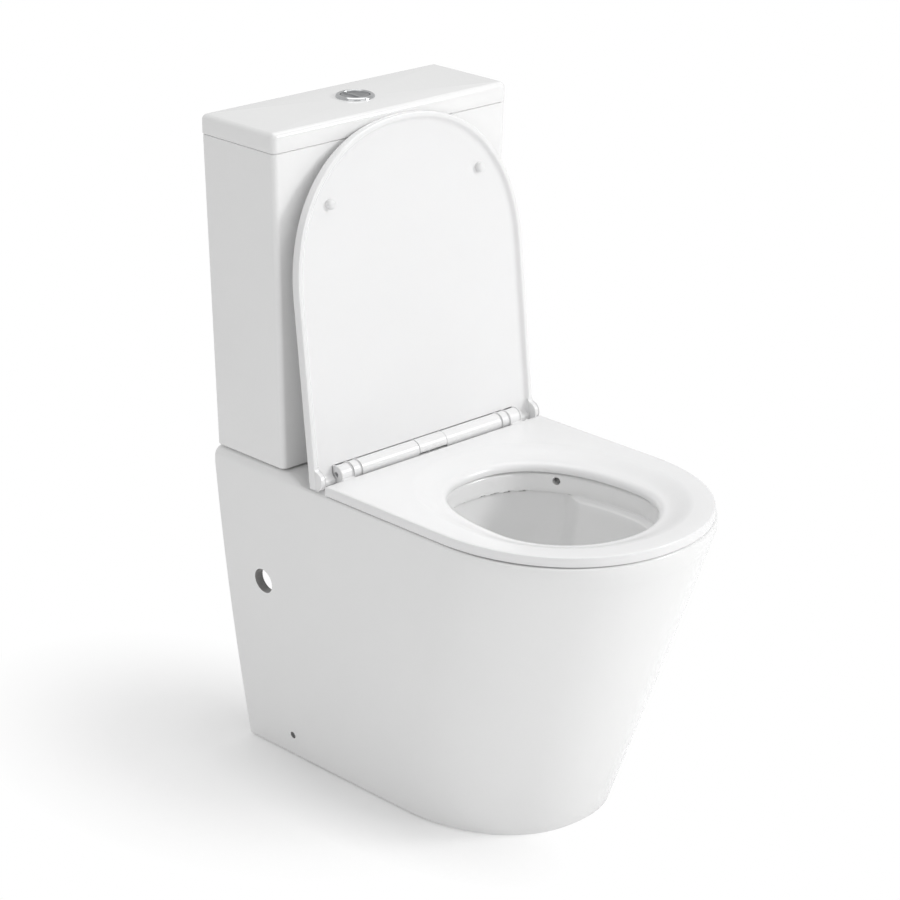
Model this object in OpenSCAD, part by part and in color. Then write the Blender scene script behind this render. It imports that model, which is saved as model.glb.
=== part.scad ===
// Close-coupled, back-to-wall toilet suite: skirted rimless pan, dual flush cistern, soft-close seat.
// Millimetres. X is the width, the wall is at +Y, the front of the pan is at -Y, the floor is Z = 0.
// Distances called "out" or "t" are measured from the wall towards the front.

/* [Pan] */
// Distance from the wall to the front of the rim
projection = 602; // [580:2:660]
// Width of the rim and deck
rim_w = 361; // [352:1:376]
// Height of the rim above the floor
rim_z = 401; // [396:1:430]
// Width of the foot at the floor
foot_w = 268; // [250:2:300]
// Distance from the wall to the front of the foot
foot_out = 460; // [420:2:500]
// Outward swell of the side walls at half height
side_swell = 4; // [0:1:10]
// Radius of the edge under the seat
rim_edge_r = 3; // [2:0.5:4]
// Radius of the edge beside the cistern
deck_edge_r = 12; // [8:1:13]
// Height of the deck under the cistern above the rim
deck_rise = 7.5; // [4:0.5:9]
// Thickness of the skirt
skirt_wall = 12; // [10:1:14]
// Thickness of the deck
deck_wall = 18; // [16:1:22]

/* [Bowl] */
// Width of the opening in the pan
bowl_w = 226; // [214:2:236]
// Distance from the front of the rim to the opening
bowl_front = 63; // [58:1:76]
// Distance from the wall to the back of the opening
bowl_back = 270; // [268:1:280]
// Fall of the rim from its outer flat to the opening
rim_fall = 9; // [8:1:13]
// Height of the upright flushing wall under the rim
wash_wall = 20; // [16:1:22]
// Thickness of the bowl
bowl_wall = 12; // [9:1:13]
// Height of the bottom of the sump above the floor
sump_z = 98; // [90:1:110]

/* [Trap and outlet] */
// Bore of the trapway
trap_d = 64; // [54:1:66]
// Height of the outlet centre above the floor
outlet_z = 180; // [175:1:190]
// Outer diameter of the outlet spigot
outlet_d = 102; // [98:1:110]
// Distance from the wall to the end of the spigot
outlet_out = 55; // [30:1:80]

/* [Fixing holes] */
// Diameter of the service hole in each side
service_d = 32; // [26:1:36]
// Distance of the service holes from the wall
service_out = 72; // [60:1:90]
// Height of the service holes
service_z = 247; // [235:1:255]
// Diameter of the counterbore of the floor fixing hole
fixing_d = 9; // [8.6:0.1:10]
// Distance of the floor fixing holes from the wall
fixing_out = 89; // [80:1:110]
// Height of the floor fixing holes
fixing_z = 31; // [26:1:34]

/* [Cistern] */
// Width of the cistern at its bottom
tank_low_w = 351; // [340:1:358]
// Width of the cistern at its top
tank_top_w = 374; // [364:1:376]
// Depth of the cistern at its bottom
tank_low_depth = 123; // [118:1:126]
// Depth of the cistern at its top
tank_top_depth = 130; // [126:1:133]
// Height of the cistern without its lid
tank_h = 394; // [380:1:420]
// Gap between the deck and the cistern
tank_gap = 2; // [1.5:0.5:3]
// Gap between the wall and the cistern
tank_back = 1; // [0.5:0.5:4]
// Thickness of the cistern walls
tank_wall = 10; // [8:1:11]
// Radius of the upright front corners
tank_r = 7; // [6:0.5:12]
// Spacing of the wall fixing holes in the back of the cistern
wall_fix_gap = 260; // [240:5:280]
// Distance of those holes below the top of the cistern
wall_fix_drop = 110; // [100:5:130]
// Height of the lid
lid_h = 24.5; // [22:0.5:30]
// Overhang of the lid past the cistern
lid_over = 0.5; // [0.25:0.25:2]

/* [Flush button] */
// Outer diameter of the button ring
bezel_d = 48; // [46:1:54]
// Diameter across both buttons
button_d = 36; // [34:0.5:37]
// Travel of the buttons
button_travel = 6; // [4:0.5:7]
// Lift of the flush valve
valve_lift = 18; // [12:1:22]

/* [Seat] */
// Thickness of the seat at its outer edge
seat_t = 12.5; // [9:0.5:14]
// Thickness of the seat at the opening
seat_inner_t = 12; // [10:0.5:14]
// Width of the opening in the seat
seat_open_w = 220; // [208:2:226]
// Gap between the rim and the seat
seat_gap = 1; // [1:0.25:2]
// Gap between the seat and the lowered cover
cover_gap = 2.5; // [2:0.25:3]
// Thickness of the cover at its edge
cover_t = 15; // [15:0.5:17]
// Depth of the hollow under the cover
cover_hollow = 7; // [5:0.5:9]
// Reach of the cover past the rim on each side
cover_over = 2; // [0:0.5:3]
// Angle between the lowered and the raised cover
cover_open = 96; // [92:0.5:96]
// Distance of the hinge axis from the wall
hinge_out = 190; // [188:1:194]
// Spacing of the hinge bolts
hinge_bolt_gap = 155; // [140:1:160]
// Radius of the hinge barrel
barrel_r = 12; // [11:0.5:12]

/* [Hidden] */

$fn = 64;
// Overlap that joins or cuts cleanly
eps = 0.5;
// Radial clearance of a pin in its bore
pin_gap = 0.05;
// Clearance of a sliding piece
slide_gap = 0.3;

// Place of the wall in Y, so that the origin is the middle of the footprint
wall_y = projection / 2;
function yt(t) = wall_y - t;
function lerp(a, b, k) = a + (b - a) * k;
function spow(v, p) = sign(v) * pow(abs(v), p);

// Colours
CERAMIC = [0.96, 0.96, 0.95];
SEAT_WHITE = [0.93, 0.93, 0.94];
CHROME = [0.75, 0.77, 0.8];
STEEL = [0.62, 0.63, 0.65];
BRASS = [0.78, 0.66, 0.36];
RUBBER = [0.16, 0.16, 0.17];
PLASTIC = [0.88, 0.9, 0.92];
BLUE_PLASTIC = [0.35, 0.55, 0.75];

// Outline sections: points along the back edge, each straight side and the front curve
back_n = 10;
side_n = 6;
front_n = 36;

// Exponents of the front curves: pan rim, foot, and the opening at its back and front
rim_curve = 2.08;
foot_curve = 2.26;
open_curve_back = 2.4;
open_curve_front = 2;
// Where the straight sides end
rim_straight = 420;
foot_straight = 289;
seat_straight = 400;
seat_curve = 2.12;
cover_curve = 2.2;
// Where the opening is widest
open_wide_out = 431;
// Angle on the back curve of the opening where its sides begin
open_side_angle = 35;

// Shares of the straight side at which it has points
side_share = [0, 0.15, 0.31, 0.4, 0.55, 0.75, 1];

// Closed outline with a straight back edge and sides and a curved front
function d_outline(w, tb, ts, tf, n, z) = concat(
    [for (i = [0 : back_n - 1]) [w - 2 * w * i / back_n, yt(tb), z]],
    [for (i = [0 : side_n - 1]) [-w, yt(lerp(tb, ts, side_share[i])), z]],
    [for (i = [0 : front_n - 1]) let (a = 180 * i / front_n)
        [-w * spow(cos(a), 2 / n), yt(ts + (tf - ts) * pow(sin(a), 2 / n)), z]],
    [for (i = [0 : side_n - 1]) [w, yt(lerp(tb, ts, side_share[side_n - i])), z]]
);

// Point on the back curve of an opening
function open_back_pt(w, tb, tm, a, z) = [
    w * spow(cos(a), 2 / open_curve_back),
    yt(tm - (tm - tb) * pow(abs(sin(a)), 2 / open_curve_back)), z
];

// Closed egg-shaped outline with as many points as d_outline
function egg_outline(w, tb, tm, tf, z) = concat(
    [for (i = [0 : back_n - 1])
        open_back_pt(w, tb, tm, lerp(open_side_angle, 180 - open_side_angle, i / back_n), z)],
    [for (i = [0 : side_n - 1])
        open_back_pt(w, tb, tm, lerp(180 - open_side_angle, 180, i / side_n), z)],
    [for (i = [0 : front_n - 1]) let (a = 180 * i / front_n)
        [
            -w * spow(cos(a), 2 / open_curve_front),
            yt(tm + (tf - tm) * pow(sin(a), 2 / open_curve_front)), z
        ]],
    [for (i = [0 : side_n - 1])
        open_back_pt(w, tb, tm, lerp(0, open_side_angle, i / side_n), z)]
);

// Triangles between each outline and the next
function band_faces(rows, n, from = 0) = [
    for (r = [0 : rows - 2], i = [0 : n - 1]) let (j = (i + 1) % n, a = from + r * n, b = a + n)
    each [[a + i, b + i, b + j], [a + i, b + j, a + j]]
];

// Middle point of an outline
function ring_middle(ring) = [for (i = [0 : 2]) let (c = [for (p = ring) p[i]]) (min(c) + max(c)) / 2];

// Solid with a stack of outlines, closed by its first and last one
module loft(rings) {
    n = len(rings[0]);
    rows = len(rings);
    last = (rows - 1) * n;
    low_mid = rows * n;
    caps = [for (i = [0 : n - 1]) let (j = (i + 1) % n)
        each [[i, j, low_mid], [last + j, last + i, low_mid + 1]]];
    polyhedron(
        points = concat([for (r = rings) each r], [ring_middle(rings[0]), ring_middle(rings[rows - 1])]),
        faces = concat(caps, band_faces(rows, n))
    );
}

// Solid ring whose last outline joins its first
module loft_loop(rings) {
    n = len(rings[0]);
    rows = len(rings);
    closing = [for (i = [0 : n - 1]) let (j = (i + 1) % n, a = (rows - 1) * n)
        each [[a + i, i, j], [a + i, j, a + j]]];
    polyhedron(points = [for (r = rings) each r], faces = concat(band_faces(rows, n), closing));
}

// Rounded rectangle between two distances from the wall
module round_plate(w, t0, t1, r, z, h) {
    translate([0, 0, z]) linear_extrude(h) {
        for (x = [-1, 1], t = [t0 + r, t1 - r]) translate([x * (w / 2 - r), yt(t)]) circle(r);
        translate([-w / 2 + r, yt(t1)]) square([w - 2 * r, t1 - t0]);
        translate([-w / 2, yt(t1 - r)]) square([w, t1 - t0 - 2 * r]);
    }
}

// Upright cylinder at a place on the plan
module post(x, t, z0, z1, d) {
    translate([x, yt(t), z0]) cylinder(d = d, h = z1 - z0);
}

// Upright tube
module tube(x, t, z0, z1, d, bore) {
    translate([x, yt(t), z0]) difference() {
        cylinder(d = d, h = z1 - z0);
        translate([0, 0, -eps]) cylinder(d = bore, h = z1 - z0 + 2 * eps);
    }
}

// Cylinder between two points given as [x, t, z]
module rod(a, b, d) {
    pa = [a[0], yt(a[1]), a[2]];
    pb = [b[0], yt(b[1]), b[2]];
    v = pb - pa;
    len_v = norm(v);
    translate(pa) rotate([0, acos(v[2] / len_v), atan2(v[1], v[0])]) cylinder(d = d, h = len_v);
}

// Heights that follow from the pan
under_deck = rim_z - deck_wall;
deck_z = rim_z + deck_rise;
open_z = rim_z - rim_fall - 1;
seat_low_z = rim_z + seat_gap;
seat_top_z = seat_low_z + seat_t;
hinge_z = seat_top_z + cover_gap;
tank_z = deck_z + tank_gap;
tank_floor_z = tank_z + tank_wall + 2;
tank_top_z = tank_z + tank_h;
lid_z = tank_top_z + 0.5;
lid_top_z = lid_z + lid_h;
tank_low_front = tank_back + tank_low_depth;
tank_top_front = tank_back + tank_top_depth;

// Places of the pieces in the cistern
valve_out = 62;
valve_hole_d = 63;
valve_tail_d = 61;
valve_bore = 50;
valve_flange_d = 76;
valve_flange_t = 6;
washer_t = 3;
fill_x = -115;
fill_hole_d = 22;
fill_shank_d = 20.9;
tank_bolt_x = 78;
wall_fix_d = 8;
bolt_d = 8;
bolt_hole_d = 11;
inlet_recess_d = 98;
inlet_recess_depth = 20;
inlet_hole_d = 72;
inlet_access_d = 46;

// Pan outline at a height fraction: 0 at the floor, 1 at the rim, drawn in by inset
function pan_ring(k, z, inset = 0, back = 0) = d_outline(
    lerp(foot_w, rim_w, k) / 2 + side_swell * 4 * k * (1 - k) - inset,
    back,
    lerp(foot_straight, rim_straight, k),
    lerp(foot_out, projection, k) - inset,
    lerp(foot_curve, rim_curve, k),
    z
);

// Opening outline grown by an offset
function opening_ring(grow, z) = egg_outline(
    bowl_w / 2 + grow, bowl_back - grow, open_wide_out, projection - bowl_front + grow, z
);

// Share of the shelf at each point of the opening: none under the flushing wall, full from the jets forward
shelf_share = concat(
    [for (i = [1 : back_n]) 0],
    [for (i = [0 : side_n - 1]) min(1, i / 2)],
    [for (i = [1 : front_n]) 1],
    [for (i = [0 : side_n - 1]) min(1, (side_n - i) / 2)]
);
function shelf_mix(back, front) = [for (i = [0 : len(back) - 1]) lerp(back[i], front[i], shelf_share[i])];

// Bowl below the shelf: 0 at the shelf, 1 at the top of the sump
sump_w = 84;
sump_back = 300;
sump_front = 404;
undercut = 6;
shelf_in = 8;
shelf_recess = 2;
wash_top_z = open_z - 4;
wash_low_z = wash_top_z - wash_wall;
shelf_z = wash_low_z - 6;
sump_top_z = sump_z + 72;
sump_mid_out = 345;
bowl_steps = 7;
function bowl_part(k, start, grow) = let (f = cos(90 * k)) egg_outline(
    lerp(sump_w / 2, bowl_w / 2 + start, f) + grow,
    lerp(sump_back, bowl_back - start, f) - grow,
    lerp(sump_mid_out, open_wide_out, f),
    lerp(sump_front, projection - bowl_front + start, f) + grow,
    lerp(shelf_z, sump_top_z, k)
);
function bowl_ring(k, grow = 0) = shelf_mix(bowl_part(k, undercut, grow), bowl_part(k, -shelf_in, grow));
function sump_ring(shrink, z, grow = 0) = egg_outline(
    sump_w / 2 - shrink + grow, sump_back + shrink - grow, sump_mid_out, sump_front - 2 * shrink + grow, z
);

// The deck is level up to deck_end, then falls to the rim at slope_end
deck_end = 0.31 * rim_straight;
slope_end = 0.4 * rim_straight;
skirt_top_z = rim_z - deck_edge_r - 1;
// 1 on the deck, 0 on the rim, for a distance from the wall
function deck_share(t) = max(0, min(1, (slope_end - t) / (slope_end - deck_end)));
function raised(ring) = [for (p = ring) [p[0], p[1], p[2] + deck_rise * deck_share(wall_y - p[1])]];
// The rear of a ring drawn forward to a distance from the wall, its points kept apart and in order
crowding = 0.01;
function drawn_to(back, ring) = [for (p = ring)
    let (t = wall_y - p[1]) [p[0], yt(max(t, back + t * crowding)), p[2]]];
// Ring on the rounded edge, wide beside the cistern and tight under the seat
function edge_ring(a) = let (
    wide = pan_ring(1, rim_z - deck_edge_r * (1 - sin(a)), deck_edge_r * (1 - cos(a))),
    tight = pan_ring(1, rim_z - rim_edge_r * (1 - sin(a)), rim_edge_r * (1 - cos(a)))
)
raised([for (i = [0 : len(wide) - 1]) lerp(tight[i], wide[i], deck_share(wall_y - wide[i][1]))]);

// Width of the sloping band of the rim
rim_slope_w = 38;
foot_edge = 2;
skirt_steps = 6;
// The skirt, rim and bowl as one closed surface, before it is hollowed
module pan_body() {
    skirt = [for (i = [1 : skirt_steps]) let (k = i / skirt_steps)
        pan_ring(k, lerp(foot_edge, skirt_top_z, k))];
    bowl = [for (i = [0 : bowl_steps]) bowl_ring(i / bowl_steps)];
    loft(concat(
        [pan_ring(0, 0, foot_edge / 2), pan_ring(0, foot_edge)],
        skirt,
        [for (a = [0, 22.5, 45, 67.5, 90]) edge_ring(a)],
        [
            raised(drawn_to(deck_end, pan_ring(1, rim_z, deck_edge_r + 2))),
            drawn_to(slope_end, pan_ring(1, rim_z, deck_edge_r + 4)),
            opening_ring(rim_slope_w, rim_z),
            opening_ring(6, open_z + 1.5),
            opening_ring(1, open_z - 0.5),
            opening_ring(0, wash_top_z),
            shelf_mix(opening_ring(0, wash_low_z), opening_ring(shelf_recess, wash_low_z)),
            shelf_mix(
                opening_ring(undercut, wash_low_z - 1.5),
                opening_ring(shelf_recess - 3, wash_low_z - 2)
            ),
            shelf_mix(opening_ring(undercut, shelf_z + 1.5), opening_ring(1 - shelf_in, shelf_z + 1.5))
        ],
        bowl,
        [sump_ring(4, sump_z + 36), sump_ring(10, sump_z + 12), sump_ring(20, sump_z)]
    ));
}

// Outer faces of the bowl wall
module bowl_shell() {
    wall = bowl_wall;
    bowl = [for (i = [bowl_steps : -1 : 0]) bowl_ring(i / bowl_steps, wall)];
    loft(concat(
        [
            sump_ring(20, sump_z - wall, wall),
            sump_ring(10, sump_z + 12 - wall, wall),
            sump_ring(4, sump_z + 36, wall)
        ],
        bowl,
        [opening_ring(wall + 5, shelf_z + 5), opening_ring(wall + 5, under_deck + 3)]
    ));
}

// Space under the deck, open to the wall and to the floor
module pan_hollow() {
    top_k = (under_deck - foot_edge) / (skirt_top_z - foot_edge);
    loft(concat(
        [pan_ring(0, -eps, skirt_wall, -eps)],
        [for (k = [0, 0.25, 0.5, 0.75, 1])
            pan_ring(k * top_k, lerp(foot_edge, under_deck, k), skirt_wall, -eps)]
    ));
}

// Trapway: arcs that rise from the sump, turn over the weir and end level at the outlet
trap_wall = 8;
trap_low_z = sump_z + trap_d / 2;
trap_start = 350;
trap_low_out = 290;
trap_rise = 65;
trap_drop = 75;
trap_low_r = 45;
trap_weir_r = 48;
trap_riser = 70;
riser_start = [trap_low_out - trap_low_r * sin(trap_rise), trap_low_z + trap_low_r * (1 - cos(trap_rise))];
riser_end = riser_start + trap_riser * [-cos(trap_rise), sin(trap_rise)];
weir_mid = riser_end - trap_weir_r * [sin(trap_rise), cos(trap_rise)];
drop_start = weir_mid + trap_weir_r * [-sin(trap_drop), cos(trap_drop)];
drop_r = (drop_start[1] - outlet_z) / (1 - cos(trap_drop));
drop_mid = drop_start + drop_r * [-sin(trap_drop), cos(trap_drop)];
// Each station holds the distance from the wall, the height and the slope
trap_path = concat(
    [[trap_start, trap_low_z, 0]],
    [for (a = [0 : trap_rise / 5 : trap_rise]) [trap_low_out - trap_low_r * sin(a),
        trap_low_z + trap_low_r * (1 - cos(a)), a]],
    [for (i = [0 : 9]) let (a = lerp(trap_rise, -trap_drop, i / 9)) [weir_mid[0] + trap_weir_r * sin(a),
        weir_mid[1] + trap_weir_r * cos(a), a]],
    [for (i = [1 : 5]) let (a = lerp(-trap_drop, 0, i / 5)) [drop_mid[0] - drop_r * sin(a),
        drop_mid[1] - drop_r * cos(a), a]],
    [[drop_mid[0] - 12, outlet_z, 0]]
);
pipe_n = 24;
outlet_len = 38;
outlet_wall = 7;
function pipe_ring(s, r) = [for (i = [0 : pipe_n - 1]) let (a = 360 * i / pipe_n)
    [-r * cos(a), yt(s[0] + r * sin(a) * sin(s[2])), s[1] + r * sin(a) * cos(s[2])]];
module trap_run(d, spigot, end, length) {
    loft([for (s = trap_path) pipe_ring(s, d / 2)]);
    rod([0, end + length, outlet_z], [0, end, outlet_z], spigot);
}

// Water channel from the cistern to the back of the bowl
channel_w = 96;
channel_wall = 10;
channel_low_z = wash_low_z - 9;
channel_top_z = rim_z - 28;
channel_end = bowl_back - 22;
box_half = 72;
box_start = hinge_out + 28;
jet_d = 8;
jet_mouth_d = 10;
jet_wall = 6;
jet_start = [60, channel_end - 4, wash_low_z + 2];
jet_turn = [104, 315, wash_top_z - 5];
jet_mouth = [88, 324, wash_top_z - 5];
jet_past = jet_turn + 0.1 * (jet_turn - jet_start);
module jet_leg(side, a, b, d) {
    rod([side * a[0], a[1], a[2]], [side * b[0], b[1], b[2]], d);
}
module channel_block() {
    half = channel_w / 2 + channel_wall;
    top = under_deck + 1 - channel_low_z + channel_wall;
    translate([-half, yt(channel_end), channel_low_z - channel_wall])
        cube([2 * half, channel_end - 4, top]);
    translate([-box_half - channel_wall, yt(channel_end + channel_wall), channel_low_z - channel_wall])
        cube([2 * (box_half + channel_wall), channel_end + 2 * channel_wall - box_start, top]);
    for (x = [-1, 1]) {
        jet_leg(x, jet_start, jet_past, jet_d + 2 * jet_wall);
        jet_leg(x, jet_turn, jet_mouth, jet_mouth_d + 2 * jet_wall);
    }
}
slot_w = 7;
slot_h = 4.5;
slot_x = [17, 36, 54, 70];
// Distance from the wall of the flushing wall at a distance off the centre plane
function wash_wall_out(x) = let (n = open_curve_back)
    open_wide_out - (open_wide_out - bowl_back) * pow(1 - pow(abs(x) / (bowl_w / 2), n), 1 / n);
module channel_space() {
    translate([-channel_w / 2, yt(channel_end), channel_low_z])
        cube([channel_w, channel_end - 14, channel_top_z - channel_low_z]);
    translate([-box_half, yt(channel_end), channel_low_z])
        cube([2 * box_half, channel_end - box_start, channel_top_z - channel_low_z]);
    post(0, valve_out, deck_z - inlet_recess_depth, deck_z + eps, inlet_recess_d);
    post(0, valve_out, channel_top_z - eps, deck_z, inlet_hole_d);
    for (x = [-1, 1]) {
        jet_leg(x, jet_start, jet_turn, jet_d);
        jet_leg(x, jet_turn, jet_mouth, jet_mouth_d);
    }
    for (side = [-1, 1], x = slot_x) let (out = wash_wall_out(x) + 2)
        translate([side * x - slot_w / 2, yt(out), wash_low_z - slot_h + 1.5])
            cube([slot_w, out - channel_end + 4, slot_h]);
}

// Half width of the skirt at a height on its straight sides
function skirt_half(z) = let (k = (z - foot_edge) / (skirt_top_z - foot_edge))
    lerp(foot_w, rim_w, k) / 2 + side_swell * 4 * k * (1 - k);
screw_d = 6;
side_screw_seat = 6;

module pan() {
    color(CERAMIC) difference() {
        pan_body();
        difference() {
            pan_hollow();
            bowl_shell();
            channel_block();
            trap_run(trap_d + 2 * trap_wall, outlet_d, outlet_out, outlet_len);
        }
        trap_run(trap_d, outlet_d - 2 * outlet_wall, outlet_out - eps, outlet_len - 4);
        channel_space();
        for (x = [-1, 1]) {
            post(x * hinge_bolt_gap / 2, hinge_out, under_deck - eps, rim_z + eps, bolt_hole_d);
            post(x * tank_bolt_x, valve_out, under_deck - eps, deck_z + eps, bolt_hole_d);
            side_hole(x, service_out, service_z, service_d, 0);
            side_hole(x, fixing_out, fixing_z, screw_d + 0.6, 0);
            side_hole(x, fixing_out, fixing_z, fixing_d, skirt_half(fixing_z) - side_screw_seat);
        }
        post(fill_x, valve_out, under_deck - eps, deck_z + eps, inlet_access_d);
    }
}

// Level hole through one side of the skirt, from a distance off the centre plane outwards
module side_hole(side, t, z, d, from_x) {
    inner = from_x > 0 ? from_x : skirt_half(z) - 2 * skirt_wall;
    rod([side * inner, t, z], [side * (skirt_half(z) + 2 * skirt_wall), t, z], d);
}

// Outline of a rounded rectangle between two distances from the wall
corner_n = 8;
// Radius of the rear corners as a share of the front ones
rear_share = 0.35;
function plate_ring(w, t0, t1, r, z) = [
    for (q = [0 : 3], i = [0 : corner_n]) let (
        a = 90 * q + 90 * i / corner_n,
        c = q < 2 ? rear_share * r : r,
        cx = (q == 0 || q == 3 ? 1 : -1) * (w / 2 - c),
        cy = q < 2 ? yt(t0 + c) : yt(t1 - c)
    )
    [cx + c * cos(a), cy + c * sin(a), z]
];

// Share of the cistern height at which its floor lies
floor_k = (tank_floor_z - tank_z) / tank_h;
module cistern() {
    w2 = 2 * tank_wall;
    inner_r = 8;
    color(CERAMIC) difference() {
        loft([
            plate_ring(tank_low_w - 3, tank_back + 1.5, tank_low_front - 1.5, tank_r, tank_z),
            plate_ring(tank_low_w, tank_back, tank_low_front, tank_r, tank_z + 1.5),
            plate_ring(tank_top_w, tank_back, tank_top_front, tank_r, tank_top_z)
        ]);
        loft([
            plate_ring(lerp(tank_low_w, tank_top_w, floor_k) - w2, tank_back + tank_wall,
                lerp(tank_low_front, tank_top_front, floor_k) - tank_wall, inner_r, tank_floor_z),
            for (z = [tank_top_z, tank_top_z + 1])
                plate_ring(tank_top_w - w2, tank_back + tank_wall, tank_top_front - tank_wall, inner_r, z)
        ]);
        post(0, valve_out, tank_z - eps, tank_floor_z + eps, valve_hole_d);
        post(fill_x, valve_out, tank_z - eps, tank_floor_z + eps, fill_hole_d);
        for (x = [-1, 1]) {
            post(x * tank_bolt_x, valve_out, tank_z - eps, tank_floor_z + eps, bolt_hole_d);
            rod([x * wall_fix_gap / 2, tank_back - eps, tank_top_z - wall_fix_drop],
                [x * wall_fix_gap / 2, tank_back + tank_wall + eps, tank_top_z - wall_fix_drop],
                wall_fix_d
            );
        }
    }
}

lid_edge_r = 7;
least_r = 0.5;
lid_plate = 12;
lid_lip_t = 5;
lid_lip_h = 8;
lid_lip_gap = 1.5;
bezel_hole_d = 40;
module cistern_lid() {
    w = tank_top_w + 2 * lid_over;
    t0 = tank_back - lid_over;
    t1 = tank_top_front + lid_over;
    r = tank_r + lid_over;
    lip_in = tank_wall + lid_lip_gap;
    lip_r = 7;
    color(CERAMIC) difference() {
        union() {
            loft(concat(
                [
                    plate_ring(w - 1, t0 + 0.5, t1 - 0.5, r - 0.5, lid_z),
                    plate_ring(w, t0, t1, r, lid_z + 1)
                ],
                [for (a = [0, 22.5, 45, 67.5, 90]) let (d = lid_edge_r * (1 - cos(a)))
                    plate_ring(
                        w - 2 * d, t0 + d, t1 - d, max(r - d, least_r), lid_top_z - lid_edge_r * (1 - sin(a))
                    )]
            ));
            round_plate(tank_top_w - 2 * lip_in, tank_back + lip_in, tank_top_front - lip_in,
                lip_r, lid_z - lid_lip_h, lid_lip_h + 1);
        }
        round_plate(tank_top_w - 2 * lip_in - 2 * lid_lip_t, tank_back + lip_in + lid_lip_t,
            tank_top_front - lip_in - lid_lip_t, lip_r, lid_z - lid_lip_h - eps,
            lid_h - lid_plate + lid_lip_h + eps);
        post(0, valve_out, lid_z, lid_top_z + eps, bezel_hole_d);
    }
}

// Seat opening outline grown by an offset
function seat_open_ring(grow, z) = let (trim = (bowl_w - seat_open_w) / 2) egg_outline(
    seat_open_w / 2 + grow, bowl_back + trim - grow, open_wide_out, projection - bowl_front - trim + grow, z
);
seat_back = hinge_out + barrel_r + 3;
function seat_out_ring(inset, z) = d_outline(
    rim_w / 2 - 0.5 - inset, seat_back + inset, seat_straight, projection - inset, seat_curve, z
);

// Hinge barrel lengths: fixed bar, cover knuckle, seat knuckle, and the gap between them
bar_half = 117;
knuckle_gap = 1;
cover_knuckle = 12;
seat_knuckle = 19;
cover_knuckle_x = bar_half + knuckle_gap;
seat_knuckle_x = cover_knuckle_x + cover_knuckle + knuckle_gap;
hinge_pin_d = 7;
buffer_d = 12;
buffer_sunk = 4;
// Half width of the seat at a distance from the wall
function seat_side(t) = (rim_w / 2 - 0.5)
    * pow(1 - pow(max(t - seat_straight, 0) / (projection - seat_straight), seat_curve), 1 / seat_curve);
// Buffers stand midway on the flat band, beside the opening
rear_buffer_out = 300;
seat_buffer_places = [for (t = [rear_buffer_out, open_wide_out])
    [(bowl_w / 2 + rim_slope_w + seat_side(t)) / 2, t]];

// Level cylinder along X on the hinge axis, from x0 to x1
module axle(x0, x1, d) {
    translate([min(x0, x1), yt(hinge_out), hinge_z]) rotate([0, 90, 0]) cylinder(d = d, h = abs(x1 - x0));
}

module seat_ring() {
    inner_top = open_z + 2 + seat_inner_t;
    color(SEAT_WHITE) difference() {
        union() {
            loft_loop([
                seat_out_ring(2, seat_low_z),
                seat_out_ring(0, seat_low_z + 1.5),
                seat_out_ring(0, seat_top_z - 3),
                seat_out_ring(1, seat_top_z - 1),
                seat_out_ring(4, seat_top_z),
                seat_open_ring(rim_slope_w + 2, seat_top_z),
                seat_open_ring(8, inner_top),
                seat_open_ring(3.5, inner_top - 1.5),
                seat_open_ring(1, inner_top - 4),
                seat_open_ring(0, inner_top - 7),
                seat_open_ring(0, open_z + 3.5),
                seat_open_ring(1.5, open_z + 2),
                seat_open_ring(rim_slope_w, seat_low_z + 0.5)
            ]);
            for (x = [-1, 1]) {
                axle(x * seat_knuckle_x, x * (seat_knuckle_x + seat_knuckle), 2 * barrel_r);
                translate([
                    x > 0 ? seat_knuckle_x : -seat_knuckle_x - seat_knuckle,
                    yt(seat_back + 5), seat_low_z + 0.3
                ])
                    cube([seat_knuckle, seat_back + 5 - hinge_out, seat_t - 0.6]);
            }
        }
        for (x = [-1, 1]) {
            axle(
                x * (seat_knuckle_x - eps), x * (seat_knuckle_x + seat_knuckle + eps),
                hinge_pin_d + 2 * pin_gap
            );
            for (p = seat_buffer_places)
                post(x * p[0], p[1], seat_low_z - 1, seat_low_z + buffer_sunk, buffer_d);
        }
    }
}

module seat_buffers() {
    color(RUBBER) for (x = [-1, 1], p = seat_buffer_places)
        post(x * p[0], p[1], rim_z + 0.2, seat_low_z + buffer_sunk, buffer_d);
}

// Cover outline in its own frame: the hinge axis is the origin and the cover is lowered
cover_len = projection - hinge_out - 3;
cover_half = rim_w / 2 + cover_over;
cover_back = barrel_r - 1.5;
function cover_ring(inset, h) = [
    for (p = d_outline(cover_half - inset, hinge_out - cover_back + inset,
        seat_straight + 5, hinge_out + cover_len - inset, cover_curve, h))
    [p[0], p[1] - yt(hinge_out), p[2]]
];
cover_rim_w = 6;
ear_w = 8;
cover_buffer_x = 121;
cover_buffer_s = 323;

// Everything in here is drawn on a lowered cover and raised with it
module on_cover() {
    translate([0, yt(hinge_out), hinge_z]) rotate([-cover_open, 0, 0]) children();
}

module cover_axle(x0, x1, d) {
    translate([min(x0, x1), 0, 0]) rotate([0, 90, 0]) cylinder(d = d, h = abs(x1 - x0));
}

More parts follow.
